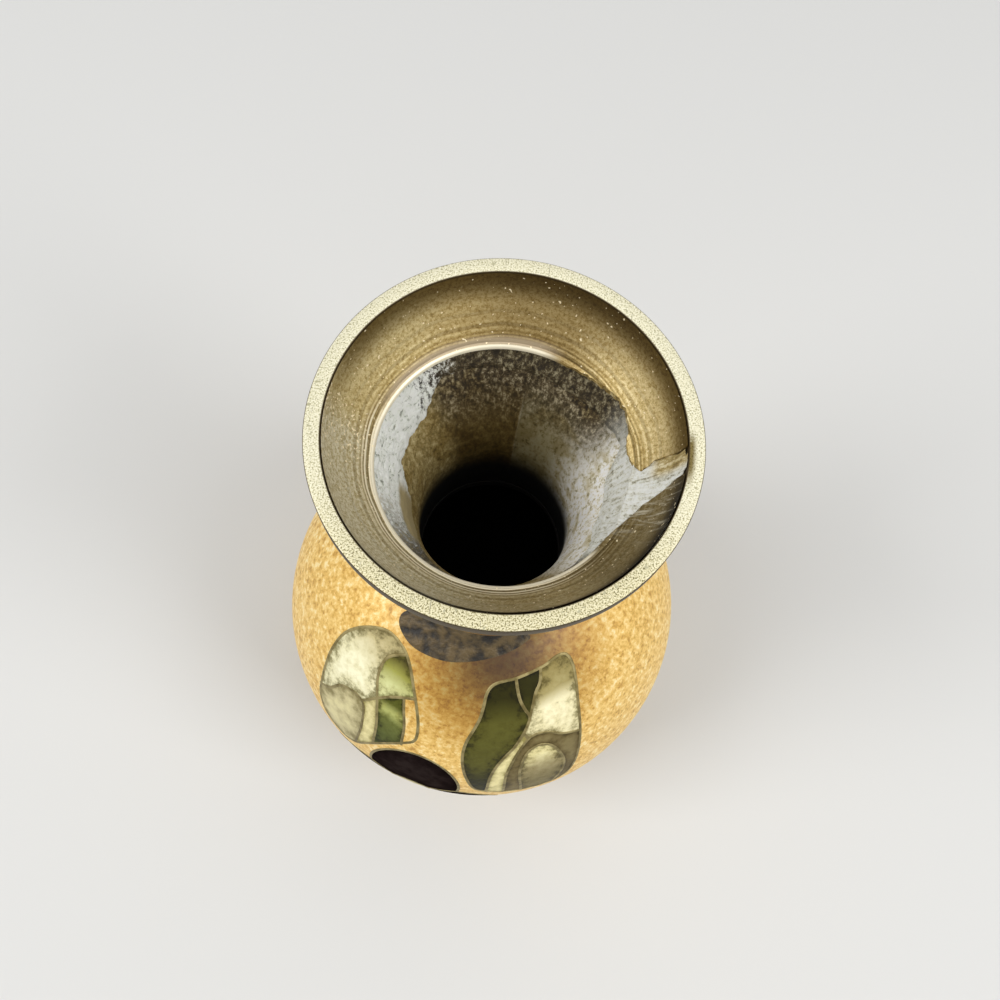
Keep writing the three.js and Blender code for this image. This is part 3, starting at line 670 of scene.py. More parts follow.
def goldstone(tone, fleck):
    """Aventurine enamel: copper flecks of many brightnesses, seen soft through amber glass, with the mouth
    ring's shadow painted on round the root repair. The flecks are drawn coarser than real, so that they show."""
    material, add, place = new_material(
        "aventurine_enamel", Metallic=0.1, Roughness=0.5, Coat_Weight=0.1, Coat_Roughness=0.3
    )
    flecks = add("TexVoronoi", {"Vector": place, "Scale": 1 / fleck})["Color"]
    spark = add("SeparateColor", {"Color": flecks})["Red"]
    clumps = add("TexNoise", {"Vector": place, "Scale": per(1.1), "Detail": 4.0, "Roughness": 0.65})["Fac"]
    level = add("Math", {0: spark, 1: 0.15, 2: clumps}, operation="MULTIPLY_ADD")[0]
    shade = add(
        "ValToRGB",
        {"Fac": level},
        stops=[(0.36, "#bb8b38"), (0.52, tone), (0.64, "#f5d07e"), (0.78, "#fde9b0")],
    )["Color"]
    ring_shadow_distance = add("VectorMath", {0: place, 1: RING_SHADOW_PLACE}, operation="DISTANCE")["Value"]
    # Painted shadow of the ring: dark near its centre, soft at its fringe
    for fall, over in (((MM, 14 * MM), "#6a5f48"), ((10 * MM, 20 * MM), "#c8b889")):
        mix = {0: window(add, (ring_shadow_distance, None, fall)), 6: shade, 7: over}
        shade = add("Mix", mix, data_type="RGBA", blend_type="MULTIPLY")[2]
    facets = add("Bump", {"Height": clumps, "Distance": 0.06 * MM, "Strength": 0.5})[0]
    return surface(material, shade, facets)


def enamel(name, tone, deep, pale, clouds=2.2, gloss=0.12, bands=None):
    """Opaque enamel, fired and stoned: clouded, thin and darker along its wires, duller than glass. Bands
    are the heights in millimetres at which a cell, packed with more than one colour, has each of them."""
    material, add, place = new_material(name, Roughness=0.5, IOR=1.5, Specular_IOR_Level=gloss)
    cloud = add("TexNoise", {"Vector": place, "Scale": per(clouds), "Detail": 5.0, "Roughness": 0.65})["Fac"]
    edge = add("Attribute", attribute_name="edge")["Fac"]
    level = add("Math", {0: edge, 1: 0.28, 2: cloud}, operation="MULTIPLY_ADD")[0]
    shade = add("ValToRGB", {"Fac": level}, stops=[(0.45, deep), (0.65, tone), (0.86, pale)])["Color"]
    if bands:
        low, high = bands[0][0], bands[-1][0]
        height = polar(add, place)[2]
        wavy = add("Math", {0: cloud, 1: 1.6, 2: height}, operation="MULTIPLY_ADD")[0]
        share = add("MapRange", {"Value": wavy, "From Min": low + 0.8, "From Max": high + 0.8})[0]
        stops = [((band_height - low) / (high - low), band) for band_height, band in bands]
        mix = {0: 1.0, 6: shade, 7: add("ValToRGB", {"Fac": share}, stops=stops)["Color"]}
        shade = add("Mix", mix, data_type="RGBA", blend_type="MULTIPLY")[2]
    return surface(material, shade, add("Bump", {"Height": cloud, "Distance": 0.06 * MM})[0])


# Enamel motifs


# Outlines and partings are in degrees round the belly, east and north of a centre
# Each cell has its name, a place inside it and its enamel
LEFT_LEAF = {
    "name": "front_left_leaf",
    "azimuth": -37,
    "elevation": 30,
    "outline": [
        (-4.5, 26.5), (1.5, 26.5), (6, 24), (10.5, 19.5), (14.5, 14.7), (17.5, 9.8), (19, 4.5),
        (17, 0.8), (13, -4.8), (9.3, -11), (6.3, -17), (3.5, -20.5), (0, -22), (-6.5, -20),
        (-10.5, -13), (-11.8, -6), (-13, 1), (-14, 8), (-13.5, 15.5), (-10, 22),
    ],
    "lines": [
        [
            (3.6, 25.8), (1.3, 23.5), (0, 21), (0.1, 18.3), (1.1, 14.9), (3.2, 11.2), (5.5, 7),
            (8.4, 0.1), (10.3, -9.3),
        ],
        [
            (-12, -8), (-8.4, -4.2), (-6, 1), (-3, 3.5), (-0.2, 4.4), (2.2, 3.5), (4, -0.5),
            (5.4, -7.6), (5.6, -18),
        ],
        [(1.6, 4.3), (3, 6.6), (4.4, 9)],
        [(4.4, 9), (7, 12.5), (10, 15.3), (12.7, 17.3)],
        [(10, 15.3), (12.2, 11.4), (14.8, 6.4), (16.8, -0.6)],
    ],
    "cells": [
        ("blade", -5.7, 11.4, "topped_pale_green"),
        ("lobe", -2.8, -8.5, "olive_yellow"),
        ("stalk", 6.3, -1.1, "beige"),
        ("light_green", 4.5, 16.9, "banded_light_green"),
        ("dark_green", 10.9, 5.1, "banded_dark_green"),
        ("gold", 15, 9.9, "goldstone"),
    ],
}

RIGHT_LEAF = {
    "name": "front_right_leaf",
    "azimuth": 26,
    "elevation": 30,
    "outline": [
        (-11, 24.3), (-8.8, 26.2), (-5.8, 26.6), (-2.8, 26.5), (2, 27), (5.7, 27.5), (9.4, 28.5),
        (12, 27.8), (13, 24.5), (12.8, 19.6), (12.1, 13.4), (11.6, 5.7), (11.2, 0.2), (10.3, -6.9),
        (9.2, -13), (7.4, -18.8), (4, -23), (-3, -23.5), (-9.5, -22.5), (-15.5, -20.5), (-20, -16.5),
        (-21.5, -8), (-21.6, -1), (-20.8, 4.7), (-19.1, 9.4), (-17, 12.8), (-14.4, 16.8), (-12.7, 20.4),
    ],
    "lines": [
        [
            (-2.8, 26.5), (-3.1, 22.7), (-3, 19.6), (-2.2, 16.5), (-1.5, 14.3), (-2.8, 11.3),
            (-4.9, 8), (-7.2, 4.8), (-10, 1.7), (-13, -2.9), (-15.2, -8.9), (-17, -19.3),
        ],
        [(4.2, 27.2), (3.1, 23.5), (1.4, 21.1), (0, 17.9), (-1.5, 14.3)],
        [
            (-12.2, -21.8), (-10.9, -9.4), (-9, -2.9), (-6.7, 2), (-4.4, 5.4), (-2.3, 7.4),
            (0.2, 7.8), (3.2, 6.7), (6.2, 4.5), (11.3, 2.5),
        ],
        [(-4, 9.3), (-3, 6.9)],
        [
            (-6.9, -23), (-7, -9.5), (-6, -3.5), (-4.5, 0.5), (-2.5, 2.7), (0, 3.2), (2.6, 1.6),
            (4.7, -2.8), (5.9, -8.5), (5.4, -14.4), (2.6, -23.2),
        ],
    ],
    "cells": [
        ("green_band", -10.6, 12.5, "shaded_dark_green"),
        ("small_green", 0.2, 24, "shaded_dark_green"),
        ("blade", 5.9, 15.1, "banded_pale_green"),
        ("stalk", -11.5, -4.6, "beige"),
        ("rim", 0.2, 5.6, "brown"),
        ("lobe", -0.3, -7.3, "banded_olive_yellow"),
    ],
}


# Each plain enamel: where thin, where pale, the size of its clouds and its gloss
ENAMELS = {
    "pale_green": ("#978c56", "#fff9d2"),
    "olive_yellow": ("#8b8054", "#dfd5a2"),
    "beige": ("#958a52", "#efe3a8"),
    "light_green": ("#6d6c30", "#dfe2a8"),
    "dark_green": ("#201f07", "#5a5826", 1.2, 0.05),
    "brown": ("#463a1b", "#80734a"),
    "aubergine": ("#150f0e", "#2c2422", 2.2, 0.0),
}
# Each enamel packed in bands: the height in millimetres of each colour, from the lowest
BANDS = {
    "topped_pale_green": [(45.0, "#fffbd6"), (50.5, "#fffbd6"), (53.5, "#d8cda0"), (55.5, "#b9ad7e")],
    "shaded_dark_green": [(39.0, "#33320f"), (43.0, "#57551f"), (50.5, "#5b5924"), (53.3, "#2f2d0a")],
    "banded_light_green": [(49.9, "#e8ebb2"), (51.4, "#d6d99a"), (52.8, "#a3a352"), (54.0, "#625d2c")],
    "banded_dark_green": [(43.5, "#565e2a"), (46.6, "#6d7338"), (48.1, "#b4b76c"), (49.2, "#5a5e20")],
    "banded_pale_green": [(48.0, "#fdf5cb"), (51.3, "#fff8d0"), (52.8, "#b1a571"), (55.5, "#9a8d58")],
    "banded_olive_yellow": [(36.5, "#7d7249"), (39.5, "#958960"), (41.5, "#b0a478"), (44.5, "#f4eab2")],
}


def back_leaf(side):
    """One of the two plain leaves behind."""
    return {
        "name": "back_left_leaf" if side < 0 else "back_right_leaf",
        "azimuth": 180 + side * 38,
        "elevation": 30,
        "turn": side * 35,
        "outline": [(0, 20), (6, 11.5), (8, 2), (6, -8), (0, -18), (-6, -8), (-8, 2), (-6, 11.5)],
        "lines": [[(0, 20), (1, 2), (0, -18)]],
        "cells": [("light_half", 4.5, 1, "pale_green"), ("dark_half", -4, 1, "dark_green")],
    }


PETALS = ("petal_top", "petal_left", "petal_lower_left", "petal_lower_right", "petal_right")


def petal_reach(petal, angle):
    """How far a petal's ellipse reaches from the flower's centre at an angle."""
    bearing, centre, length, half = petal
    long = length - centre
    turn = math.radians(angle - bearing)
    a = (math.cos(turn) / long) ** 2 + (math.sin(turn) / half) ** 2
    b = -2 * math.cos(turn) * centre / long**2
    c = (centre / long) ** 2 - 1
    return (-b + math.sqrt(max(b * b - 4 * a * c, 0))) / (2 * a)


def flower(name, azimuth, elevation, eye, petals):
    """A flower: the outermost of its petals all round, a spoke in each notch and a round eye."""

    def reach(angle):
        return max(petal_reach(petal, angle) for petal in petals)

    def out(angle, radius):
        return (radius * math.cos(math.radians(angle)), radius * math.sin(math.radians(angle)))

    bearings = [petal[0] for petal in petals]
    notches = []
    for start, end in zip(bearings, bearings[1:] + [bearings[0] + 360]):
        end = end if end > start else end + 360
        angles = [start + (end - start) * i / 180 for i in range(181)]
        notches.append(min(angles, key=reach))
    steps = [notches[0] + 3 * i for i in range(120)]
    spokes = []
    for angle in notches:
        end = reach(angle)
        spokes.append([out(angle, eye), out(angle, (eye + end) / 2), out(angle, end)])
    cells = []
    for petal_name, petal in zip(PETALS, petals):
        cells.append((petal_name, *out(petal[0], (eye + petal[2]) / 2), "aubergine"))
    return {
        "name": name,
        "azimuth": azimuth,
        "elevation": elevation,
        "outline": [out(angle, reach(angle)) for angle in steps],
        "smooth": False,
        "lines": spokes,
        "eye": [out(15 * i, eye) for i in range(24)],
        "cells": cells,
    }


# Each petal: its bearing, its ellipse's centre, its reach and its half width
FRONT_PETALS = [
    (86, 11, 27.8, 13.4), (190, 14.5, 26, 9.4), (243, 14.5, 26, 10), (297, 14.5, 26, 10),
    (351, 14.5, 26, 9.7),
]
FRONT_FLOWER = flower("front_flower", -13, -1, 5.8, FRONT_PETALS)
BACK_FLOWER = flower("back_flower", 180, 1, 5, [(90 + 72 * k, 12, 22.5, 9.4) for k in range(5)])


def aim(azimuth, elevation):
    """A direction from the belly's centre."""
    a, e = math.radians(azimuth), math.radians(elevation)
    return Vector((math.sin(a) * math.cos(e), -math.cos(a) * math.cos(e), math.sin(e)))


def chart(motif):
    """The motif's own map from degrees east and north of its centre to a direction."""
    out = aim(motif["azimuth"], motif["elevation"])
    right = aim(motif["azimuth"] + 90, 0)
    up = out.cross(right)
    turn = math.radians(motif.get("turn", 0))

    def place(east, north):
        angle = math.radians(math.hypot(east, north))
        bearing = math.atan2(east, north) + turn
        across = right * math.sin(bearing) + up * math.cos(bearing)
        return out * math.cos(angle) + across * math.sin(angle)

    return place


def skin_reach(direction):
    """How far the enamel's surface is from the belly's centre, in millimetres."""
    if direction.z >= 0:
        return BELLY_RADIUS
    level = math.hypot(direction.x, direction.y)
    return 1 / math.hypot(level / BELLY_RADIUS, direction.z / LOWER_HEIGHT)


BELLY_CENTRE = Vector((0, 0, BELLY_HEIGHT * MM))


def smoothed(points, closed):
    """A smooth line through the points, in steps of about a degree."""
    knots = [Vector(p) for p in points]
    if closed:
        knots = [knots[-1], *knots, knots[0], knots[1]]
    else:
        knots = [2 * knots[0] - knots[1], *knots, 2 * knots[-1] - knots[-2]]
    line = []
    for a, b, c, d in zip(knots, knots[1:], knots[2:], knots[3:]):
        square, cube = 2 * a - 5 * b + 4 * c - d, 3 * b - a - 3 * c + d
        count = max(2, round((c - b).length))
        for i in range(count):
            t = i / count
            line.append(0.5 * (2 * b + (c - a) * t + square * t**2 + cube * t**3))
    if not closed:
        line.append(knots[-2])
    return line


def grown(points, distance):
    """A closed outline moved outwards, with mitred corners."""
    area = sum(a.cross(b) for a, b in zip(points, points[1:] + points[:1]))
    ordered = points if area > 0 else points[::-1]
    moved = []
    for i, corner in enumerate(ordered):
        before, after = ordered[i - 1], ordered[(i + 1) % len(ordered)]
        sides = [Vector((b.y - a.y, a.x - b.x)).normalized() for a, b in ((before, corner), (corner, after))]
        mitre = (sides[0] + sides[1]).normalized()
        moved.append(corner + mitre * distance / max(mitre.dot(sides[0]), 0.5))
    return moved


def strip(line, half):
    """An open line widened into a strip that runs on past both ends."""
    first = line[0] + (line[0] - line[1]).normalized() * half
    last = line[-1] + (line[-1] - line[-2]).normalized() * half
    long = [tuple(p) for p in (first, *line[1:-1], last)]
    return [Vector(p) for p in aside(long, -half) + aside(long, half)[::-1]]


def plug(points, place):
    """A block cut to an outline, whose walls run straight out from the belly's centre."""
    near, far = 0.8 * BELLY_RADIUS, 1.3 * BELLY_RADIUS
    foot = [BELLY_CENTRE + place(*p) * near * MM for p in points]
    growth = (far / near,) * 3
    return standing(foot, bpy.ops.transform.resize, value=growth, center_override=BELLY_CENTRE)


def joined(pieces):
    """Several pieces as one."""
    deselect()
    for piece in pieces:
        piece.select_set(True)
    bpy.context.view_layer.objects.active = pieces[0]
    bpy.ops.object.join()
    return bpy.context.object


def wire_net(lines, place):
    """A motif's wires: round wire bent to its lines, bedded in the skin and ground flat."""
    sizes = bpy.context.scene.vase_sizes
    deselect()
    bpy.ops.curve.primitive_nurbs_path_add()
    net = bpy.context.object
    curve = net.data
    curve.splines.clear()
    for line, closed in lines:
        spline = curve.splines.new("POLY")
        spline.points.add(len(line) - 1)
        for point, chart_point in zip(spline.points, line):
            direction = place(*chart_point)
            point.co = (*(BELLY_CENTRE + direction * (skin_reach(direction) - WIRE_BED) * MM), 1)
        spline.use_cyclic_u = closed
    curve.dimensions = "3D"
    curve.bevel_depth = 0.56 * sizes.wire_width
    curve.bevel_resolution = 3
    curve.use_fill_caps = True
    bpy.ops.object.convert(target="MESH")
    net = bpy.context.object
    for vertex in net.data.vertices:
        arm = vertex.co - BELLY_CENTRE
        top = skin_reach(arm.normalized()) * MM + sizes.wire_proud
        if arm.length > top:
            vertex.co = BELLY_CENTRE + arm.normalized() * top
    return net


def loose_parts(piece):
    """The piece split into its separate solids."""
    choose(piece)
    bpy.ops.object.mode_set(mode="EDIT")
    bpy.ops.mesh.select_all(action="SELECT")
    bpy.ops.mesh.separate(type="LOOSE")
    bpy.ops.object.mode_set(mode="OBJECT")
    return list(bpy.context.selected_objects)


def nearness(piece, place):
    """The distance from a place to the piece's nearest vertex."""
    return min((vertex.co - place).length for vertex in piece.data.vertices)


def patch(azimuth):
    """A stretch of the enamel skin round an azimuth, finely divided."""
    section = sleeve(BODY_FOOT, BODY_TOP, 0, ENAMEL)
    return turned(section, PATCH_STEPS, azimuth - PATCH_SWEEP / 2, PATCH_SWEEP)


def motif_lines(motif):
    """The motif's outline, partings and eye as smooth lines in degrees."""
    if motif.get("smooth", True):
        outline = smoothed(motif["outline"], True)
    else:
        outline = [Vector(p) for p in motif["outline"]]
    partings = [smoothed(line, False) for line in motif["lines"]]
    eye = [Vector(p) for p in motif.get("eye", [])]
    return outline, partings, eye


def lay_motif(motif, finishes):
    """Lays a motif's wires and fills its cells, and returns the block that clears its place."""
    sizes = bpy.context.scene.vase_sizes
    place = chart(motif)
    half = math.degrees(sizes.wire_width / 2 / (BELLY_RADIUS * MM))
    tuck = 0.7 * half
    outline, partings, eye = motif_lines(motif)
    lines = [(outline, True), *((line, False) for line in partings)]
    if eye:
        lines.append((eye, True))
    name = motif["name"]
    net = wire_net(lines, place)
    finish(net, name + "_wirework", finishes["wire"], "wire_brass", name + "_wires", angle=50)

    field = patch(motif["azimuth"])
    cut(field, plug(grown(outline, -tuck), place), "INTERSECT")
    partings = [plug(strip(line, tuck), place) for line in partings]
    if eye:
        centre = patch(motif["azimuth"])
        cut(centre, plug(grown(eye, -tuck), place), "INTERSECT")
        dress_cell(centre, name + "_eye", "olive_yellow", finishes)
        partings.append(plug(grown(eye, tuck), place))
    cut(field, joined(partings))
    cells = [part for part in loose_parts(field) if len(part.data.vertices) > CRUMB]
    for cell_name, east, north, finish_name in motif["cells"]:
        seed = BELLY_CENTRE + place(east, north) * BELLY_RADIUS * MM
        cell = min(cells, key=lambda part: nearness(part, seed))
        cells.remove(cell)
        dress_cell(cell, f"{name}_{cell_name}", finish_name, finishes)
    for rest in cells:
        bpy.data.objects.remove(rest)
    return plug(grown(outline, tuck), place)


def mark_edges(cell):
    """Keeps at each vertex, as "edge", the share of the way from the cell's walls to its middle."""
    mesh = cell.data
    walls = set()
    for face in mesh.polygons:
        out = (face.center - BELLY_CENTRE).normalized()
        if abs(face.normal.dot(out)) < 0.5:
            walls.update(face.vertices)
    tree = kdtree.KDTree(len(walls))
    for index in walls:
        tree.insert(mesh.vertices[index].co, index)
    tree.balance()
    depths = [tree.find(vertex.co)[2] for vertex in mesh.vertices]
    middle = 0.6 * max(depths)
    edge = mesh.attributes.new("edge", "FLOAT", "POINT")
    for point, depth in zip(edge.data, depths):
        point.value = min(1.0, depth / middle)


def dress_cell(cell, node, finish_name, finishes):
    """Finishes a cell of enamel that stands for a node."""
    mark_edges(cell)
    slot = finish_name.split("_", 1)[1] if finish_name in BANDS else finish_name
    finish(cell, node + "_enamel", finishes[finish_name], slot + "_enamel", node)


# Torn funnel and solder


# The torn edge: its azimuth in degrees, and how far it is outside the lip's radius in millimetres
TEAR = [
    (45, -2), (50, -0.1), (59, 0.1), (65, 0.4), (72, 1.1), (78.5, 2.0), (82.5, 3.2), (85.4, 4.1),
    (86.5, 5.5), (94, 5.5), (95, 4.2), (95.8, 3.4), (96.3, 2.4), (93.2, 1.2), (97.5, 0.5), (103, 0.05),
    (109, 0.1), (112, 0.6), (115, 0.8), (121, 1.1), (127.5, 1.1), (136, 0.7), (147, 0.4), (158, 0.05),
    (168, -0.1), (172, -2),
]
# The stretch of it that the solder fills, and the length of its steps in millimetres
CRACK = slice(3, 15)
TEAR_STEP = 0.35
# The solder's lower edge by azimuth, as its drop below the lip in millimetres
COLLAR_DROP = [
    (-180, 4.2), (-142, 3.7), (-127, 7.4), (-112, 7.9), (-98, 8.5), (-90, 10.9), (-83, 13.2),
    (-72, 13.6), (-60, 13.4), (-40, 9.7), (-10, 6.7), (25, 5.2), (50, 5.7), (64, 6.5), (75, 8.3), (83, 7.7),
    (102, 6.9), (112, 2.9), (140, 4.4), (180, 4.2),
]
# Its upper edge, as its rise above the lip's underside
COLLAR_RISE = [
    (-180, 0), (60, 0), (70, 1.2), (77, 3.2), (90, 3.8), (97, 1.6), (105, 0.2), (120, 0.6),
    (140, 0.4), (160, 0), (180, 0),
]
# Its gap to the tube, its thickness and its voxels in millimetres
COLLAR_GAP = 0.02
COLLAR_THICKNESS = 0.55
CRUST_VOXEL = 0.2
# Its coarse and fine lumps: each one's size in millimetres and share of the crust's height
CRUST_LUMPS = ((1.1, 1), (0.35, 0.4))
# Its section, in shares of its thickness inwards and of its height upwards
COLLAR_SECTION = [
    (0, 0), (0, 0.25), (0, 0.5), (0, 0.75), (0, 1), (0.7, 1), (1, 0.8), (1, 0.6), (1, 0.4), (1, 0.25),
    (0.5, 0),
]


def along(table, azimuth):
    """The table's value at an azimuth."""
    for (a, low), (b, high) in zip(table, table[1:]):
        if azimuth <= b:
            return low + (high - low) * (azimuth - a) / (b - a)
    return table[-1][1]


def torn_line(table, bite):
    """The torn outline in plan, with small bites of noise along it, in millimetres."""
    corners = [spot(a, LIP_RADIUS + out, 0) / MM for a, out in table]
    line = []
    for a, b in zip(corners, corners[1:]):
        count = max(1, round((b - a).length / TEAR_STEP))
        side = Vector((b.y - a.y, a.x - b.x, 0)).normalized()
        for i in range(count):
            place = a.lerp(b, i / count)
            line.append(place + side * bite * 2 * noise.noise(place * 1.7))
    return [*line, corners[-1]]


def tear_block(table, bite):
    """A standing block of the torn outline, from below the lip to above the ring."""
    low, rise = LIP_HEIGHT - 4, 16
    foot = [Vector((p.x, p.y, low)) * MM for p in torn_line(table, bite)]
    return standing(foot, bpy.ops.transform.translate, value=(0, 0, rise * MM))


def funnel_face():
    """The funnel's upper face from the polished lip to the ring, as radius and height."""
    bowl = bezier((14.25, 94.5), (15.6, 96.0), (17.4, 98.0), (FUNNEL_RADIUS - 0.04, FUNNEL_RISE), 28)
    lip = [(LIP_RADIUS, LIP_HEIGHT), (13.66, 93.95), (13.8, 94.12), (14.05, 94.25), (14.18, 94.3)]
    return lip + bowl


def funnel_section():
    """The closed section of the spun sheet."""
    face = funnel_face()
    back = [(min(radius, FUNNEL_RADIUS), height) for radius, height in aside(face, -FUNNEL_WALL)]
    return face + back[::-1]


def whole_funnel():
    """The spun sheet before it tore, pushed a little off the ring's centre at its top."""
    funnel = turned(funnel_section(), MOUTH_STEPS)
    for vertex in funnel.data.vertices:
        share = max(0.0, (vertex.co.z / MM - FUNNEL_SHIFT_FOOT) / (FUNNEL_RISE - FUNNEL_SHIFT_FOOT))
        vertex.co += Vector((-0.2, 1, 0)) * FUNNEL_SHIFT * share * MM
    return funnel


def model_funnel(sizes):
    """The spun funnel with its lip torn away."""
    funnel = whole_funnel()
    cut(funnel, tear_block(TEAR, sizes.tear_bite / MM))
    return funnel


def model_collar(sizes):
    """The solder collar, laid against the neck tube and run up the crack."""
    wall = aside(SKIN, METAL_DEPTH + TUBE_WALL + COLLAR_GAP)
    top = LIP_HEIGHT - FUNNEL_WALL
    section = [(LIP_RADIUS - inward, up) for inward, up in COLLAR_SECTION]
    collar = turned(section, COLLAR_STEPS)
    for vertex in collar.data.vertices:
        x, y, up = vertex.co / MM
        azimuth = math.degrees(math.atan2(x, -y))
        inward = LIP_RADIUS - math.hypot(x, y)
        ragged = 0.5 * noise.noise(Vector((x, y, 0)) * 0.9) + 0.3 * noise.noise(Vector((x, y, 9)) * 2.5)
        low = LIP_HEIGHT - along(COLLAR_DROP, azimuth) + ragged
        height = low + (top + along(COLLAR_RISE, azimuth) - low) * up
        vertex.co = spot(azimuth, radius_at(wall, height) - inward * COLLAR_THICKNESS, height)
    tongue = whole_funnel()
    cut(tongue, tear_block(TEAR[CRACK], 0), "INTERSECT")
    solder = joined([collar, tongue])
    apply(solder, "REMESH", mode="VOXEL", voxel_size=CRUST_VOXEL * MM)
    for size, share in CRUST_LUMPS:
        lumps(solder, size, share * sizes.crust / MM)
    return solder


# The chip at the neck's root: azimuths and elevations in degrees, seen from the belly's centre
CHIP = [
    (-47, 63), (-43, 59.8), (-31, 58.4), (-15, 59.4), (0, 61.4), (18, 63.4), (34, 65.4),
    (29, 67.6), (8, 68.6), (-18, 68.4), (-38, 67.4),
]


def chip_place(x, y):
    """A direction from the belly's centre, on a chart centred on its top."""
    return aim(math.degrees(math.atan2(x, -y)), 90 - math.hypot(x, y))


def chip_outline():
    """The chip's smooth outline on that chart."""
    points = []
    for azimuth, elevation in CHIP:
        reach = 90 - elevation
        angle = math.radians(azimuth)
        points.append((reach * math.sin(angle), -reach * math.cos(angle)))
    return smoothed(points, True)


# Operators, one for each group of pieces


class VASE_OT_body(bpy.types.Operator):
    """Models the raised copper body and the plate soldered into its foot."""

    bl_idname = "vase.body"
    bl_label = "Copper body"

    def execute(self, context):
        tones = context.scene.vase_colours
        # Copper, raised and never polished: dull and oxidised, and nearly black partly as painted shade for
        # the unlit inside of the belly
        copper = plain_metal("oxidised_copper", tones.copper, "#070403", 0.8, 2.0, 0.3)
        shell = turned(sleeve(SHELL_FOOT, SHELL_TOP, METAL_DEPTH, METAL_DEPTH + BODY_WALL))
        finish(shell, "raised_body", copper, "copper", "body_shell")
        plate = model_disc(PLATE_RADIUS, PLATE_FOOT, PLATE_TOP, 0.1)
        finish(plate, "soldered_base", copper, "copper", "base_plate")
        return {"FINISHED"}


def model_disc(radius, low, high, edge):
    """A disc with rounded edges, in millimetres."""
    deselect()
    middle = (0, 0, (low + high) / 2 * MM)
    bpy.ops.mesh.primitive_cylinder_add(
        vertices=ROUND_STEPS, radius=radius * MM, depth=(high - low) * MM, location=middle
    )
    piece = bpy.context.object
    bevel(piece, edge)
    return piece


def model_border(name, node, low, high, tone):
    """A wire laid round the wall between two heights: drawn brass, a thin line with dark patches."""
    wire = turned(sleeve(low, high, -BORDER_PROUD, ENAMEL))
    bevel(wire, 0.12)
    brass = plain_metal(node + "_brass", tone, "#5f5535", 0.4, 1.5)
    finish(wire, name, brass, "wire_brass", node)


class VASE_OT_foot(bpy.types.Operator):
    """Models the turned foot ring, the enamel inside it and the wire above it."""

    bl_idname = "vase.foot"
    bl_label = "Foot"

    def execute(self, context):
        tones = context.scene.vase_colours
        inner = FOOT_RADIUS - FOOT_WIDTH
        ring = turned([(inner, 0), (FOOT_RADIUS, 0), (FOOT_RADIUS, FOOT_HEIGHT), (inner, FOOT_HEIGHT)])
        bevel(ring, 0.35, 4)
        brass = ring_brass("foot_brass", "#cdbf95", inner, FOOT_RADIUS)
        finish(ring, "turned_foot", brass, "ring_brass", "foot_ring")
        turquoise = enamel("fired_turquoise", tones.counter, "#2c7478", "#62adab", 3.0)
        counter = model_disc(COUNTER_RADIUS + 0.2, COUNTER_FOOT, COUNTER_TOP, 0.15)
        finish(counter, "base_enamel", turquoise, "counter_enamel", "base_counter_enamel")
        model_border("foot_border", "foot_wire", WIRE_FOOT, WIRE_TOP, tones.wire)
        return {"FINISHED"}


class VASE_OT_neck(bpy.types.Operator):
    """Models the rolled neck tube, its brazed seam, the shoulder wire and the neck's enamel."""

    bl_idname = "vase.neck"
    bl_label = "Neck"

    def execute(self, context):
        tones = context.scene.vase_colours
        sizes = context.scene.vase_sizes
        inside = METAL_DEPTH + TUBE_WALL
        sheet = sleeve(TUBE_FOOT, NECK_TOP, METAL_DEPTH, inside)
        tube = turned(sheet, ROUND_STEPS, SEAM_AZIMUTH + SEAM_HALF, 360 - 2 * SEAM_HALF)
        lumps(tube, 3.0, 0.12)
        brass = rolled_brass("torched_rolled_brass", tones.tube)
        finish(tube, "rolled_neck", brass, "tube_brass", "neck_tube")
        bead = sleeve(TUBE_FOOT, NECK_TOP, METAL_DEPTH, inside + 0.05)
        seam = turned(bead, 6, SEAM_AZIMUTH - SEAM_HALF, 2 * SEAM_HALF)
        lumps(seam, 0.8, 0.1)
        braze = rolled_brass("torched_braze", tones.tube)
        finish(seam, "brazed_seam", braze, "wire_brass", "neck_seam_braze")
        model_border("shoulder_border", "shoulder_wire", SHOULDER_FOOT, SHOULDER_TOP, tones.wire)
        neck = turned(sleeve(NECK_FOOT, NECK_TOP, 0, ENAMEL))
        glass = goldstone(tones.goldstone, sizes.fleck)
        finish(neck, "neck_enamel", glass, "goldstone_enamel", "ground_neck")
        return {"FINISHED"}


class VASE_OT_mouth(bpy.types.Operator):
    """Models the ground mouth ring and the spun funnel with its torn lip."""

    bl_idname = "vase.mouth"
    bl_label = "Mouth"

    def execute(self, context):
        tones = context.scene.vase_colours
        sizes = context.scene.vase_sizes
        section = [(RIM_INNER, RIM_FOOT), (RIM_RADIUS, RIM_FOOT), (RIM_RADIUS, HEIGHT), (RIM_INNER, HEIGHT)]
        ring = turned(section, MOUTH_STEPS)
        bevel(ring, 0.12)
        brass = ring_brass("ground_ring_brass", tones.ring, RIM_INNER, RIM_RADIUS)
        finish(ring, "ground_ring", brass, "ring_brass", "rim_ring")
        funnel = model_funnel(sizes)
        sheet = spun_brass(tones.funnel, sizes.turning)
        finish(funnel, "spun_funnel", sheet, "funnel_brass", "mouth_funnel")
        return {"FINISHED"}


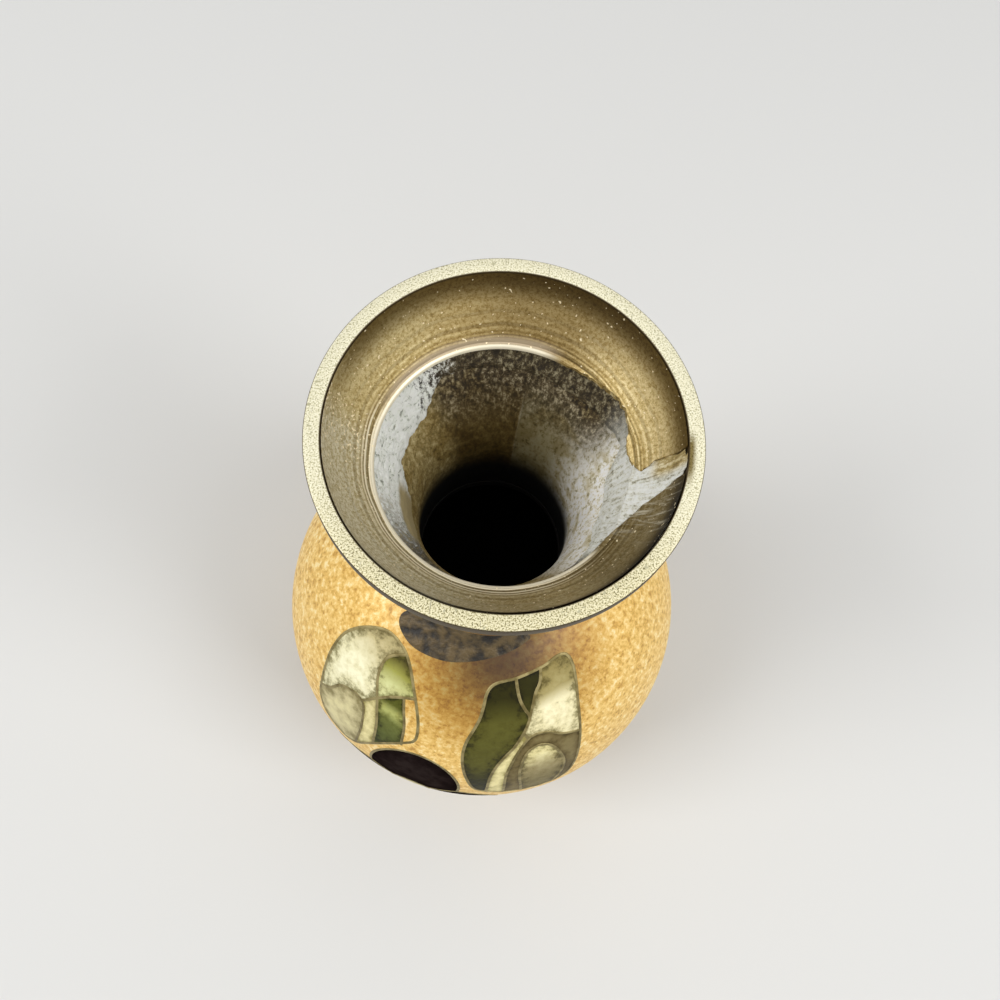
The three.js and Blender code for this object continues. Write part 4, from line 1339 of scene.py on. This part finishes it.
class VASE_OT_solder(bpy.types.Operator):
    """Models the crusted solder in the throat and the filled chip at the neck's root."""

    bl_idname = "vase.solder"
    bl_label = "Solder"

    def execute(self, context):
        tones = context.scene.vase_colours
        sizes = context.scene.vase_sizes
        collar = model_collar(sizes)
        finish(collar, "solder_collar", solder_crust(tones.solder), "solder", "throat_solder", angle=180)
        fill = turned(sleeve(CHIP_FOOT, BODY_TOP, 0, ENAMEL), CHIP_STEPS, -CHIP_SWEEP / 2, CHIP_SWEEP)
        cut(fill, plug(chip_outline(), chip_place), "INTERSECT")
        # Soft solder scraped back to bared metal and scorched: brown and black patches, dented, and kept dark
        # partly as painted shade under the ring
        bared = plain_metal("bared_repair", "#5c4c2e", "#130e05", 0.5, 1.8, 0.2, 0.8)
        finish(fill, "root_repair", bared, "solder", "neck_repair_solder")
        return {"FINISHED"}


class VASE_OT_enamel(bpy.types.Operator):
    """Lays the wires, fills the cells with enamel and covers the rest with goldstone."""

    bl_idname = "vase.enamel"
    bl_label = "Wired enamel"

    def execute(self, context):
        tones = context.scene.vase_colours
        # Wire bent on edge and ground flat with the enamel: olive brass, patched with grime
        wire = plain_metal("ground_wire_brass", tones.wire, "#6f6338", 0.5, 1.5, 0.6)
        finishes = {"wire": wire, "goldstone": bpy.data.materials["aventurine_enamel"]}
        for name, look in ENAMELS.items():
            finishes[name] = enamel("fired_" + name, getattr(tones, name), *look)
        for name, bands in BANDS.items():
            finishes[name] = enamel("fired_" + name, "#e9e6da", "#8a856c", "#ffffff", 1.3, bands=bands)
        clearings = []
        for motif in (LEFT_LEAF, RIGHT_LEAF, FRONT_FLOWER, BACK_FLOWER, back_leaf(-1), back_leaf(1)):
            clearings.append(lay_motif(motif, finishes))
        clearings.append(plug(chip_outline(), chip_place))
        ground = turned(sleeve(BODY_FOOT, BODY_TOP, 0, ENAMEL), ROUND_STEPS)
        cut(ground, joined(clearings))
        finish(ground, "ground_enamel", finishes["goldstone"], "goldstone_enamel", "ground_body")
        return {"FINISHED"}


class VASE_OT_stage(bpy.types.Operator):
    """Sets the pale floor, the soft studio light and the camera."""

    bl_idname = "vase.stage"
    bl_label = "Stage"

    def execute(self, context):
        scene = context.scene
        scene.view_settings.view_transform = "Standard"
        deselect()
        bpy.ops.mesh.primitive_plane_add(size=6, location=(0, 0, 0))
        floor = bpy.context.object
        floor.name = "studio_floor"
        # Pale matt paint: an even backdrop
        paint, _, _ = new_material("painted_floor", Base_Color="#d9d9d7", Roughness=0.8)
        floor.data.materials.append(paint)
        set_world(scene)
        for name, place, size, power in LAMPS:
            add_lamp(name, place, size, power)
        add_camera(scene)
        return {"FINISHED"}


# Each lamp's name, its place and size in metres, and its power in watts
LAMPS = [
    ("key_softbox", (0.1, 0.25, 0.75), 0.5, 0.5),
    ("left_softbox", (-0.55, -0.22, 0.66), 0.4, 3.7),
    ("right_softbox", (0.55, -0.2, 0.58), 0.4, 3.1),
]
# The surround's strength as light, and as the camera and reflections see it
WORLD_LIGHT = 0.42
WORLD_SEEN = 0.85
# The camera's place in millimetres, its dip and roll in degrees, and its lens in millimetres
CAMERA_PLACE = (0.41, -37.82, 189.78)
CAMERA_DIP = 70.73
CAMERA_ROLL = 8.58
CAMERA_LENS = 34.67


def set_world(scene):
    """A plain white surround: full white to the camera and in reflections, softer on the object."""
    world = bpy.data.worlds.new("studio_world")
    world.use_nodes = True
    scene.world = world
    tree = world.node_tree
    path = add_node(tree, "LightPath")
    seen = path["Is Camera Ray"]
    for ray in ("Is Glossy Ray", "Is Transmission Ray"):
        seen = add_node(tree, "Math", {0: seen, 1: path[ray]}, operation="MAXIMUM")[0]
    ends = {"To Min": WORLD_LIGHT, "To Max": WORLD_SEEN}
    strength = add_node(tree, "MapRange", {"Value": seen, **ends})[0]
    tree.links.new(strength, tree.nodes["Background"].inputs["Strength"])
    tree.nodes["Background"].inputs["Color"].default_value = (1, 1, 1, 1)


def add_lamp(name, place, size, power):
    """A square softbox aimed at the vase."""
    deselect()
    bpy.ops.object.light_add(type="AREA", location=place)
    lamp = bpy.context.object
    lamp.name = name
    lamp.data.size = size
    lamp.data.energy = power
    target = Vector((0, 0, HEIGHT / 2 * MM))
    lamp.rotation_euler = (target - Vector(place)).to_track_quat("-Z", "Y").to_euler()


def add_camera(scene):
    """The camera, looking steeply down into the mouth, with the roll of a hand-held one."""
    deselect()
    bpy.ops.object.camera_add()
    camera = bpy.context.object
    camera.name = "photo_camera"
    camera.data.lens = CAMERA_LENS
    camera.data.sensor_width = 36
    camera.data.clip_start = 0.005
    tilt = Matrix.Rotation(math.radians(90 - CAMERA_DIP), 4, "X")
    roll = Matrix.Rotation(math.radians(CAMERA_ROLL), 4, "Z")
    camera.matrix_world = Matrix.Translation(Vector(CAMERA_PLACE) * MM) @ tilt @ roll
    scene.camera = camera


class VASE_PT_panel(bpy.types.Panel):
    """Lists the steps that make the vase."""

    bl_label = "Bud Vase"
    bl_idname = "VASE_PT_panel"
    bl_space_type = "VIEW_3D"
    bl_region_type = "UI"
    bl_category = "Bud Vase"

    def draw(self, context):
        for step in STEPS:
            self.layout.operator(step.bl_idname)
        for group in (context.scene.vase_sizes, context.scene.vase_colours):
            for name in group.bl_rna.properties.keys():
                if name not in ("rna_type", "name"):
                    self.layout.prop(group, name)


STEPS = (
    VASE_OT_body,
    VASE_OT_foot,
    VASE_OT_neck,
    VASE_OT_mouth,
    VASE_OT_solder,
    VASE_OT_enamel,
    VASE_OT_stage,
)
CLASSES = (VaseSizes, VaseColours, *STEPS, VASE_PT_panel)


def register():
    """Registers the classes and hangs the two groups of settings on the scene."""
    for item in CLASSES:
        bpy.utils.register_class(item)
    bpy.types.Scene.vase_sizes = bpy.props.PointerProperty(type=VaseSizes)
    bpy.types.Scene.vase_colours = bpy.props.PointerProperty(type=VaseColours)


def unregister():
    """Takes the settings and classes away again."""
    del bpy.types.Scene.vase_colours
    del bpy.types.Scene.vase_sizes
    for item in reversed(CLASSES):
        bpy.utils.unregister_class(item)


def main():
    """Makes the vase step by step."""
    register()
    bpy.ops.vase.body()
    bpy.ops.vase.foot()
    bpy.ops.vase.neck()
    bpy.ops.vase.mouth()
    bpy.ops.vase.solder()
    bpy.ops.vase.enamel()
    bpy.ops.vase.stage()


if __name__ == "__main__":
    main()
